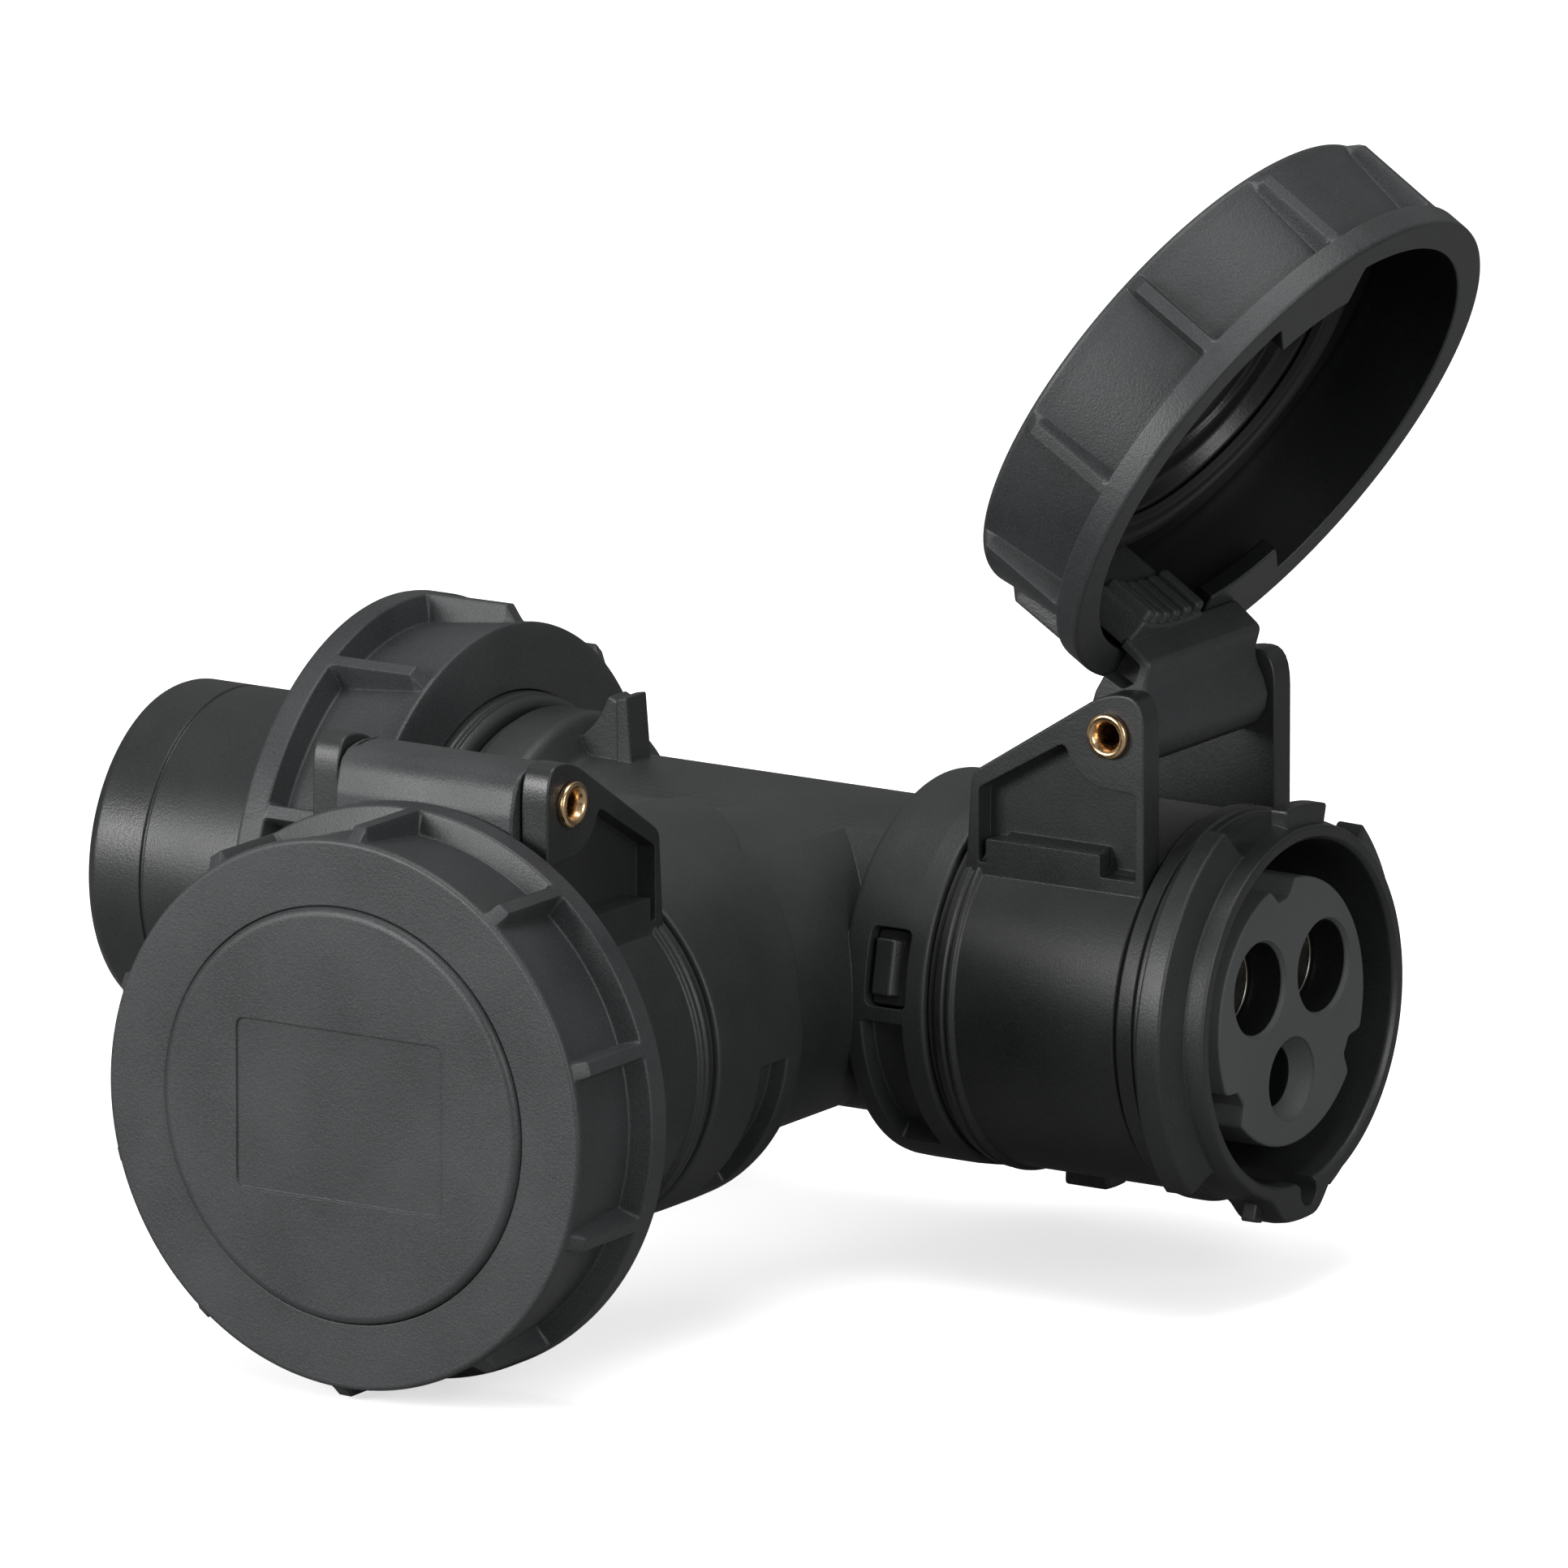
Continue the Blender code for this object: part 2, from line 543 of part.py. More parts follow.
def build_socket(label, seat, open_angle, rib_phase):
    build_latch(label, seat)
    build_shell(label, seat)
    build_insert(label, seat)
    for name, angle, pin_r in CONTACTS:
        build_contact(label, name, angle, pin_r, seat)
    build_seal(label + "_body_seal", -SHELL_LENGTH - SEAL_SLOT + GAP, -SHELL_LENGTH - GAP, COLLAR_R - 0.8 * MM,
               SPIGOT_R + GAP, seat)
    build_rivet(label, seat)
    build_spring(label, seat)
    hinge = frame_at(label + "_hinge", (HINGE_X, 0.0, HINGE_Z), seat, (0.0, -open_angle, 0.0))
    lid = frame_at(label + "_lid", (-HINGE_X, 0.0, -HINGE_Z), hinge)
    build_cap(label, lid)
    build_ring(label + "_lid_ring", lid, RING_FRONT - RING_DEPTH, CAP_R, RING_FLANGE_R, rib_phase)
    seal_back = GAP
    seal_front = RING_FRONT - RING_PLATE - GAP - 2.2 * MM - GAP
    build_seal(label + "_lid_seal", seal_back, seal_front, 25.4 * MM, 20.6 * MM, lid)


def plug_around(angle):
    """(Y, Z) of a pin: the mirror image of the socket's contact, so that the two mate."""
    y, z = around(angle, PIN_CIRCLE_R)
    return -y, z


def build_plug(seat):
    flange_front = PLUG_RING_OPEN - 12.6 * MM
    flange_back = flange_front - 2.5 * MM
    shell = turned("plug_shell", [
        (0.0, SHROUD_R - 0.6 * MM), (-0.8 * MM, SHROUD_R), (flange_front, SHROUD_R), (flange_front, CAP_FLANGE_R),
        (flange_back, CAP_FLANGE_R), (flange_back, PLUG_HUB_R), (-PLUG_BACK, PLUG_HUB_R),
        (-PLUG_BACK, SPIGOT_R), (-PLUG_BACK - SPIGOT_LENGTH, SPIGOT_R),
        (-PLUG_BACK - SPIGOT_LENGTH, SPIGOT_R - SPIGOT_WALL), (-SHROUD_DEPTH - 8.0 * MM, SPIGOT_R - SPIGOT_WALL),
        (-SHROUD_DEPTH - 8.0 * MM, SHROUD_BORE_R), (0.0, SHROUD_BORE_R)], seat)
    key = block("plug_key", (30.0 * MM, 3.0 * MM, 2.2 * MM), (-16.0 * MM, 0.0, -SHROUD_R - 0.2 * MM), seat)
    join(shell, key)
    finish(shell, SATIN)
    carrier = rod("plug_carrier", -SHROUD_DEPTH - 7.5 * MM, -SHROUD_DEPTH, SHROUD_BORE_R - GAP, seat, BIG)
    for name, angle, pin_r in CONTACTS:
        hole = rod("plug_hole_" + name, -SHROUD_DEPTH - 9.0 * MM, -SHROUD_DEPTH + 1.0 * MM, pin_r + GAP, seat,
                   SMALL, plug_around(angle))
        cut(carrier, hole)
        y, z = plug_around(angle)
        pin = turned("plug_pin_" + name, [
            (PIN_TIP, 0.0), (PIN_TIP, pin_r * 0.6), (PIN_TIP - pin_r * 0.4, pin_r),
            (-SHROUD_DEPTH - 10.0 * MM, pin_r), (-SHROUD_DEPTH - 10.0 * MM, 0.0)], seat, False, SMALL, (y, z))
        finish(pin, BRASS)
    finish(carrier, GREY)
    facing_tee = frame_at("plug_ring_axis", (0.0, 0.0, 0.0), seat, (0.0, 0.0, math.pi))
    build_ring("plug_ring", facing_tee, -PLUG_RING_OPEN, PLUG_HUB_R + 1.0 * MM, PLUG_RING_FLANGE_R,
               PLUG_RIB_PHASE)
    build_seal("plug_seal", flange_front + GAP, flange_front + 2.8 * MM, 29.0 * MM, SHROUD_R + GAP, seat)
    build_seal("plug_body_seal", -PLUG_BACK - SEAL_SLOT + GAP, -PLUG_BACK - GAP, COLLAR_R - 0.8 * MM,
               SPIGOT_R + GAP, seat)


def build_leads(base):
    """Each conductor runs straight from the plug to the socket in line, with a spliced branch to the side."""
    start = -(PLUG_FACE - SHROUD_DEPTH - 10.0 * MM - GAP)
    end = INLINE_FACE + CONTACT_BACK - GAP
    side_end = -(SIDE_FACE + CONTACT_BACK - GAP)
    splice_r = LEAD_R + GAP + 1.0 * MM
    for (name, angle, _), look in zip(CONTACTS, (GREEN, BROWN, BLUE)):
        y, z = around(angle, PIN_CIRCLE_R)
        branch_x = y
        wire("lead_%s_run" % name, [(start, y, z), (end, y, z)], LEAD_R, base, look)
        finish(tube("lead_%s_splice" % name, branch_x - 4.0 * MM, branch_x + 4.0 * MM, splice_r, LEAD_R + GAP, base,
                    SMALL, (y, z)), STEEL)
        if name == "neutral":
            over = z + splice_r + LEAD_R + GAP
            route = [(branch_x, side_end, z), (branch_x, side_end + 22.0 * MM, z),
                     (branch_x, side_end + 46.0 * MM, over), (branch_x, y, over)]
        else:
            route = [(branch_x, side_end, z), (branch_x, y - splice_r - GAP, z)]
        wire("lead_%s_branch" % name, route, LEAD_R, base, look)


def stand_on_floor(base):
    """Move everything so that the bottom centre of the bounding box is the origin."""
    graph = bpy.context.evaluated_depsgraph_get()
    graph.update()
    points = []
    for obj in PARTS.objects:
        if obj.type == "MESH":
            solid = obj.evaluated_get(graph)
            points += [solid.matrix_world @ vertex.co for vertex in solid.data.vertices]
    low = Vector(min(p[i] for p in points) for i in range(3))
    high = Vector(max(p[i] for p in points) for i in range(3))
    base.location = (-(low.x + high.x) / 2, -(low.y + high.y) / 2, -low.z)


def main():
    base = frame_at("tee_centre", (0.0, 0.0, 0.0))
    inline = frame_at("inline_face", (INLINE_FACE, 0.0, 0.0), base)
    side = frame_at("side_face", (0.0, -SIDE_FACE, 0.0), base, (0.0, 0.0, -math.pi / 2))
    plug = frame_at("plug_face", (-PLUG_FACE, 0.0, 0.0), base, (0.0, 0.0, math.pi))
    build_tee(base, inline, side)
    build_socket("inline", inline, OPEN_ANGLE, INLINE_RIB_PHASE)
    build_socket("side", side, 0.0, SIDE_RIB_PHASE)
    build_plug(plug)
    build_leads(base)
    stand_on_floor(base)


clear_scene()
PARTS = make_collection("power_splitter")
CUTTERS = make_collection("cutters")
main()
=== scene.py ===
"""Looks of the three-way power splitter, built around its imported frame.

Every piece is made in millimetres in the frame of its connector: +X points out of the mouth, +Z is up and the
origin is the centre of the front face. Angles run from the top (+Z) towards -Y.
"""
import math

import bmesh
import bpy
import numpy as np
from mathutils import Matrix, Vector


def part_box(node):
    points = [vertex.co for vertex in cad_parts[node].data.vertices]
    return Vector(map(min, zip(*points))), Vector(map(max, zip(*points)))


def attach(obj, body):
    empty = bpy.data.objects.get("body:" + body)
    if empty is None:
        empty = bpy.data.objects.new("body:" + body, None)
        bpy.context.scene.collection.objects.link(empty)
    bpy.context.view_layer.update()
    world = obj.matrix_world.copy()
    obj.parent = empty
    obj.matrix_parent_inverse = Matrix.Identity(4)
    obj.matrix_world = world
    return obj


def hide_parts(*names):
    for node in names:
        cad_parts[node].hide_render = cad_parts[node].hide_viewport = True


MM = 0.001
# tee centre to the front face of each connector
INLINE_FACE = 71.6
SIDE_FACE = 103.4
PLUG_FACE = 98.5

INSERT_FACE = -1.7
INSERT_R = 17.2
SHELL_LENGTH = 39.6
PLUG_LENGTH = 53.2
SHELL_R = 24.2
SHELL_BORE_R = 22.05
SHELL_BORE_DEPTH = 33.0
SPIGOT_R = 21.3
SPIGOT_LENGTH = 9.6
SPIGOT_WALL = 2.6
COLLAR_R = 24.8
TUBE_R = 20.3
TUBE_BORE_R = 17.7
SEAL_SLOT = 1.4
GAP = 0.3
SIDE_ARM_INSET = 0.15                # the side arm is this much slimmer than the run
WINDOW_ANGLE = 79.0                  # snap window in a collar
WINDOW_X = -46.6
HINGE_X, HINGE_Z = -17.9, 37.0
OPEN_ANGLE = 147.8
RING_DEPTH = 18.0
RING_FRONT = 6.8
RING_BORE_R = 32.1
RING_RIBS = 10
SHOULDER_R = 34.75                   # where a ring's panels start behind its front edge
PANEL_R = 33.4                       # where they end at the flange
LUG_ANGLE = -26.3
LUG_HALF = 13.5
DISC_FRONT = 7.7
DISC_R = 26.45
LID_FLANGE_R = 31.3
EAR_IN, EAR_OUT = 13.6, 17.5
RIVET_HOLE_R = 2.4
SPRING_POCKET_END = -8.0
PIN_CIRCLE_R = 8.7
CONTACTS = (("earth", 180.0, 5.4, 3.5), ("line", 60.0, 5.9, 2.5), ("neutral", -60.0, 5.9, 2.5))

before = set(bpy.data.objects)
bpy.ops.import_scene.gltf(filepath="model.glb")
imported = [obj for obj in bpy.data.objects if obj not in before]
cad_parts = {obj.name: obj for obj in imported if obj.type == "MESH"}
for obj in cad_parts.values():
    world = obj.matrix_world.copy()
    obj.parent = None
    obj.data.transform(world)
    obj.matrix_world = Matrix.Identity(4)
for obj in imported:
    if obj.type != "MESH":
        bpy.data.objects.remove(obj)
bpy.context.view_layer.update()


# ---------------------------------------------------------------- frames
def axes(origin, x, y, z):
    m = np.eye(4)
    m[:3, 0], m[:3, 1], m[:3, 2], m[:3, 3] = x, y, z, origin
    return m


def shifted(x, y, z):
    return axes((x, y, z), (1, 0, 0), (0, 1, 0), (0, 0, 1))


def tilted(degrees):
    """A turn about -Y, the way a lid opens."""
    c, s = math.cos(math.radians(degrees)), math.sin(math.radians(degrees))
    return axes((0, 0, 0), (c, 0, s), (0, 1, 0), (-s, 0, c))


def lid_frame(seat, degrees):
    return seat @ shifted(HINGE_X, 0, HINGE_Z) @ tilted(degrees) @ shifted(-HINGE_X, 0, -HINGE_Z)


low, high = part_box("inline_contact_insert")
TEE = shifted(high[0] / MM - INLINE_FACE - INSERT_FACE, (low[1] + high[1]) / 2 / MM,
              (low[2] + high[2]) / 2 / MM)
INLINE = TEE @ shifted(INLINE_FACE, 0, 0)
SIDE = TEE @ axes((0, -SIDE_FACE, 0), (0, -1, 0), (1, 0, 0), (0, 0, 1))
PLUG = TEE @ axes((-PLUG_FACE, 0, 0), (-1, 0, 0), (0, -1, 0), (0, 0, 1))
PLUG_RING = TEE @ shifted(-PLUG_FACE, 0, 0)
INLINE_LID = lid_frame(INLINE, OPEN_ANGLE)


# ---------------------------------------------------------------- shapes
def around(degrees, radius):
    """(Y, Z) of a point at an angle from the top towards -Y."""
    a = math.radians(degrees)
    return -radius * math.sin(a), radius * math.cos(a)


def rounded(points, closed=True, steps=3):
    """Round the corners of (a, b, setback) points. Leading axes hold one outline for each angle."""
    points = np.asarray(points, float)
    at, back = points[..., :2], points[..., 2:]
    count = at.shape[-2]
    out = []
    for i in range(count):
        here = at[..., i, :]
        if not np.any(back[..., i, :]) or (not closed and i in (0, count - 1)):
            out.append(here)
            continue
        to_last = at[..., i - 1, :] - here
        to_next = at[..., (i + 1) % count, :] - here
        last_length = np.linalg.norm(to_last, axis=-1, keepdims=True)
        next_length = np.linalg.norm(to_next, axis=-1, keepdims=True)
        start = here + to_last / last_length * np.minimum(back[..., i, :], 0.48 * last_length)
        end = here + to_next / next_length * np.minimum(back[..., i, :], 0.48 * next_length)
        for k in range(steps + 1):
            t = k / steps
            out.append((1 - t) ** 2 * start + 2 * t * (1 - t) * here + t ** 2 * end)
    return np.stack(out, axis=-2)


def window(angles, low_edge, high_edge, soft=1.2):
    """1 between two angles, 0 outside them, with a smooth slope that is soft degrees wide."""
    middle, half = (low_edge + high_edge) / 2, (high_edge - low_edge) / 2
    away = np.abs((angles - middle + 180) % 360 - 180)
    t = np.clip((half + soft / 2 - away) / soft, 0, 1)
    return t * t * (3 - 2 * t)


def samples(edges=(), count=180, soft=1.2):
    """Angles all round, closer together at the given edges."""
    fine = {round((e + soft * f) % 360, 4) for e in edges for f in (-0.5, -0.25, 0, 0.25, 0.5)}
    even = {round(360 * i / count, 4) for i in range(count)}
    near = np.array(sorted(fine)) if fine else np.array([999.0])
    kept = {a for a in even if np.min(np.abs((near - a + 180) % 360 - 180)) > 0.35}
    return np.array(sorted(fine | kept))


def to_object(name, seat, vertices, faces):
    """A mesh object at the world's origin, from vertices in millimetres in the frame seat."""
    vertices = np.asarray(vertices, float)
    world = (vertices @ seat[:3, :3].T + seat[:3, 3]) * MM
    mesh = bpy.data.meshes.new(name)
    mesh.from_pydata(world.tolist(), [], [tuple(int(i) for i in face) for face in faces])
    work = bmesh.new()
    work.from_mesh(mesh)
    bmesh.ops.remove_doubles(work, verts=work.verts, dist=0.000002)
    bmesh.ops.recalc_face_normals(work, faces=work.faces)
    work.to_mesh(mesh)
    work.free()
    obj = bpy.data.objects.new(name, mesh)
    bpy.context.scene.collection.objects.link(obj)
    return obj


def polar(name, seat, outline, angles=None, closed=True, centre=(0.0, 0.0), steps=3):
    """Turn (x, radius, setback) points about X. The radii may be arrays with one value for each angle."""
    angles = samples() if angles is None else angles
    table = np.empty((len(angles), len(outline), 3))
    for i, point in enumerate(outline):
        for k in range(3):
            table[:, i, k] = point[k]
    rings = rounded(table, closed, steps)
    turn = np.radians(angles)[:, None]
    vertices = np.stack([rings[..., 0], centre[0] - rings[..., 1] * np.sin(turn),
                         centre[1] + rings[..., 1] * np.cos(turn)], axis=-1)
    rows, width = rings.shape[:2]
    spans = width if closed else width - 1
    faces = [(r * width + c, r * width + (c + 1) % width, ((r + 1) % rows) * width + (c + 1) % width,
              ((r + 1) % rows) * width + c) for r in range(rows) for c in range(spans)]
    return to_object(name, seat, vertices.reshape(-1, 3), faces)


def inset_outline(outline, amount):
    """Move every side of an outline of (u, v, setback) points inwards, and tighten its corners to suit."""
    at = outline[:, :2]
    ahead, behind = np.roll(at, -1, 0) - at, at - np.roll(at, 1, 0)
    ahead = ahead / np.linalg.norm(ahead, axis=1, keepdims=True)
    behind = behind / np.linalg.norm(behind, axis=1, keepdims=True)
    along = ahead + behind
    along /= np.linalg.norm(along, axis=1, keepdims=True)
    area = np.sum(at[:, 0] * np.roll(at[:, 1], -1) - np.roll(at[:, 0], -1) * at[:, 1])
    inward = np.stack([-along[:, 1], along[:, 0]], axis=1) * math.copysign(1, area)
    stretch = 1 / np.maximum(0.4, np.sum(ahead * along, axis=1))[:, None]
    setback = np.where(outline[:, 2] > 0, np.maximum(outline[:, 2] - amount, outline[:, 2] * 0.2), 0)
    return np.concatenate([at + inward * amount * stretch, setback[:, None]], axis=1)


def slab(name, seat, outline, low_w, high_w, edge=0.3, plane="xz", steps=3):
    """An outline of (u, v, setback) points, extruded along the third axis, with its edges rounded."""
    outline = np.asarray(outline, float)
    turns = [math.radians(a) for a in (0, 30, 60, 90)] if edge else [math.pi / 2]
    layers = [(edge * (1 - math.sin(a)), low_w + edge * (1 - math.cos(a))) for a in turns]
    layers += [(edge * (1 - math.sin(a)), high_w - edge * (1 - math.cos(a))) for a in reversed(turns)]
    order = {"xz": (0, 2, 1), "yz": (1, 2, 0), "xy": (0, 1, 2)}[plane]
    vertices = []
    for amount, w in layers:
        flat = rounded(inset_outline(outline, amount), True, steps)
        layer = np.empty((len(flat), 3))
        layer[:, order[0]], layer[:, order[1]], layer[:, order[2]] = flat[:, 0], flat[:, 1], w
        vertices.append(layer)
    n = len(vertices[0])
    faces = [(k * n + i, k * n + (i + 1) % n, (k + 1) * n + (i + 1) % n, (k + 1) * n + i)
             for k in range(len(layers) - 1) for i in range(n)]
    faces += [tuple(range(n))[::-1], tuple((len(layers) - 1) * n + i for i in range(n))]
    return to_object(name, seat, np.concatenate(vertices), faces)


def box_outline(width, height, corner, centre=(0.0, 0.0)):
    u, v = width / 2, height / 2
    return [(centre[0] + a, centre[1] + b, corner) for a, b in ((-u, -v), (u, -v), (u, v), (-u, v))]


def band(name, seat, inner, outer, start, end, back, front, edge=0.3, corner=0.6, count=24):
    """Part of a ring about X between two angles, with rounded edges."""
    turns = np.linspace(start, end, count)
    top = [(*around(a, outer), 0.0) for a in turns]
    bottom = [(*around(a, inner), 0.0) for a in turns[::-1]]
    for line in (top, bottom):
        line[0] = (*line[0][:2], corner)
        line[-1] = (*line[-1][:2], corner)
    return slab(name, seat, top + bottom, back, front, edge, "yz")


def barrel(name, seat, low_y, high_y, radius, centre, edge=0.3, hole=0.0, count=48):
    """A rod or tube along Y, centred on (x, z)."""
    turned = seat @ axes((centre[0], 0, centre[1]), (0, 1, 0), (-1, 0, 0), (0, 0, 1))
    angles = samples(count=count)
    if hole:
        outline = [(low_y, radius, edge), (high_y, radius, edge), (high_y, hole, edge), (low_y, hole, edge)]
        return polar(name, turned, outline, angles)
    outline = [(low_y, 0, 0), (low_y, radius, edge), (high_y, radius, edge), (high_y, 0, 0)]
    return polar(name, turned, outline, angles, closed=False)


def path_tube(name, seat, points, radius, sides=12):
    """A round wire through points, with closed ends."""
    points = np.asarray(points, float)
    tangents = np.gradient(points, axis=0)
    tangents /= np.linalg.norm(tangents, axis=1, keepdims=True)
    normal = np.cross(tangents[0], (0.0, 0.0, 1.0))
    if np.linalg.norm(normal) < 0.1:
        normal = np.cross(tangents[0], (0.0, 1.0, 0.0))
    vertices, faces = [], []
    for point, tangent in zip(points, tangents):
        normal = normal - tangent * np.dot(normal, tangent)
        normal /= np.linalg.norm(normal)
        side = np.cross(tangent, normal)
        for k in range(sides):
            a = 2 * math.pi * k / sides
            vertices.append(point + radius * (math.cos(a) * normal + math.sin(a) * side))
    for i in range(len(points) - 1):
        faces += [(i * sides + k, i * sides + (k + 1) % sides, (i + 1) * sides + (k + 1) % sides,
                   (i + 1) * sides + k) for k in range(sides)]
    faces += [tuple(range(sides)), tuple((len(points) - 1) * sides + k for k in range(sides))]
    return to_object(name, seat, vertices, faces)


def merge(body, tools, operation):
    """Boolean a list of tools into body, and remove the tools."""
    for tool in tools:
        change = body.modifiers.new("merge", "BOOLEAN")
        change.solver = "EXACT"
        change.operation = operation
        change.object = tool
        graph = bpy.context.evaluated_depsgraph_get()
        graph.update()
        solid = bpy.data.meshes.new_from_object(body.evaluated_get(graph))
        body.modifiers.clear()
        body.data = solid
        bpy.data.objects.remove(tool, do_unlink=True)
    return body


def add(body, *tools):
    return merge(body, tools, "UNION")


def cut(body, *tools):
    return merge(body, tools, "DIFFERENCE")


def dress(obj, body, slot, material, *nodes, sharp=38):
    """Shade, colour and attach a finished piece."""
    obj.data.materials.clear()
    obj.data.materials.append(material)
    for face in obj.data.polygons:
        face.use_smooth = True
        face.material_index = 0
    obj.data.set_sharp_from_angle(angle=math.radians(sharp))
    weight = obj.modifiers.new("even_faces", "WEIGHTED_NORMAL")
    weight.keep_sharp = True
    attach(obj, body)
    if nodes:
        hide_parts(*nodes)
    return obj


def paint_shade(obj, seat, material, inside):
    """Painted shade: give a second, darker material to the faces whose centre, in the frame seat, passes a
    test, so walls in hollows look shaded.
    """
    obj.data.materials.append(material)
    to_seat = np.linalg.inv(seat)
    for face in obj.data.polygons:
        at = to_seat @ np.array([*(c / MM for c in face.center), 1.0])
        if inside(*at[:3]):
            face.material_index = 1


# ---------------------------------------------------------------- materials
def new_material(name):
    material = bpy.data.materials.new(name)
    material.use_nodes = True
    tree = material.node_tree
    return material, tree, tree.nodes["Principled BSDF"]


def link(tree, out_node, out_name, in_node, in_name):
    tree.links.new(out_node.outputs[out_name], in_node.inputs[in_name])


def noise(tree, scale, detail=2.0, rough=0.5):
    place = tree.nodes.get("place") or tree.nodes.new("ShaderNodeTexCoord")
    place.name = "place"
    node = tree.nodes.new("ShaderNodeTexNoise")
    node.inputs["Scale"].default_value = scale
    node.inputs["Detail"].default_value = detail
    node.inputs["Roughness"].default_value = rough
    link(tree, place, "Object", node, "Vector")
    return node


def spread(tree, source, low_in, high_in, low_out, high_out):
    node = tree.nodes.new("ShaderNodeMapRange")
    node.inputs["From Min"].default_value = low_in
    node.inputs["From Max"].default_value = high_in
    node.inputs["To Min"].default_value = low_out
    node.inputs["To Max"].default_value = high_out
    link(tree, source, "Fac", node, "Value")
    return node


def moulded(name, dark, light, rough, grain=0.4, speck=0.5, soft_edge=0.25):
    """Glass-filled moulded plastic: fine pitted grain, pale specks, cloudy gloss and softened edges."""
    material, tree, shader = new_material(name)
    cloud = noise(tree, 55.0, 3.0)
    fine = noise(tree, 5200.0, 2.0, 0.6)
    pits = noise(tree, 2700.0, 1.0)
    tone = tree.nodes.new("ShaderNodeMix")
    tone.data_type = "RGBA"
    tone.inputs["A"].default_value = (*dark, 1)
    tone.inputs["B"].default_value = (*light, 1)
    share = tree.nodes.new("ShaderNodeMath")
    share.operation = "MULTIPLY_ADD"
    share.inputs[1].default_value = speck
    link(tree, spread(tree, fine, 0.42, 0.68, 0.0, 1.0), "Result", share, 0)
    link(tree, spread(tree, cloud, 0.3, 0.7, 0.15, 0.6), "Result", share, 2)
    link(tree, share, "Value", tone, "Factor")
    link(tree, tone, "Result", shader, "Base Color")
    link(tree, spread(tree, cloud, 0.3, 0.7, rough - 0.05, rough + 0.06), "Result", shader, "Roughness")
    height = tree.nodes.new("ShaderNodeMath")
    height.operation = "ADD"
    link(tree, fine, "Fac", height, 0)
    link(tree, pits, "Fac", height, 1)
    bump = tree.nodes.new("ShaderNodeBump")
    bump.inputs["Strength"].default_value = grain
    bump.inputs["Distance"].default_value = 0.00006
    link(tree, height, "Value", bump, "Height")
    if soft_edge:
        edge = tree.nodes.new("ShaderNodeBevel")
        edge.samples = 4
        edge.inputs["Radius"].default_value = soft_edge * MM
        link(tree, edge, "Normal", bump, "Normal")
    link(tree, bump, "Normal", shader, "Normal")
    shader.inputs["IOR"].default_value = 1.5
    return material


def metal(name, dark, light, rough, scale=900.0, marks=0.1):
    """Plain metal with faint drawing marks and dulled patches."""
    material, tree, shader = new_material(name)
    cloud = noise(tree, 300.0, 3.0)
    fine = noise(tree, scale, 2.0)
    tone = tree.nodes.new("ShaderNodeMix")
    tone.data_type = "RGBA"
    tone.inputs["A"].default_value = (*dark, 1)
    tone.inputs["B"].default_value = (*light, 1)
    link(tree, spread(tree, cloud, 0.35, 0.65, 0.0, 1.0), "Result", tone, "Factor")
    link(tree, tone, "Result", shader, "Base Color")
    link(tree, spread(tree, fine, 0.3, 0.7, rough - 0.06, rough + 0.08), "Result", shader, "Roughness")
    bump = tree.nodes.new("ShaderNodeBump")
    bump.inputs["Strength"].default_value = marks
    bump.inputs["Distance"].default_value = 0.00003
    link(tree, fine, "Fac", bump, "Height")
    link(tree, bump, "Normal", shader, "Normal")
    shader.inputs["Metallic"].default_value = 1.0
    return material


HOUSING = moulded("housing_black", (0.0105, 0.0115, 0.0118), (0.0300, 0.0318, 0.0322), 0.47)
RING = moulded("ring_black", (0.0130, 0.0140, 0.0148), (0.0440, 0.0460, 0.0475), 0.47, 0.5, 0.6)
SHELL = moulded("shell_black", (0.0080, 0.0086, 0.0090), (0.0280, 0.0295, 0.0300), 0.38, 0.32)
CARRIER = moulded("carrier_grey", (0.0560, 0.0585, 0.0595), (0.0820, 0.0850, 0.0860), 0.62, 0.40, 0.5, 0.12)
RUBBER = moulded("seal_rubber", (0.0070, 0.0072, 0.0075), (0.0130, 0.0132, 0.0135), 0.68, 0.12, 0.2, 0.15)
# painted shade: a near-black material put on the walls of bores, rings and lid backs, where shade falls
PAINTED_SHADE = moulded("painted_shade_black", (0.0030, 0.0036, 0.0034), (0.0080, 0.0092, 0.0086), 0.36, 0.3, 0.4)
BRASS = metal("rivet_brass", (0.68, 0.46, 0.25), (0.76, 0.54, 0.31), 0.22, marks=0.03)
# painted shade: the contact metal is darkened to a dull grey so the sleeves deep in the entries look shaded
CONTACT = metal("contact_brass", (0.20, 0.20, 0.18), (0.30, 0.29, 0.26), 0.30)
STEEL = metal("spring_steel", (0.34, 0.35, 0.36), (0.56, 0.57, 0.58), 0.30)


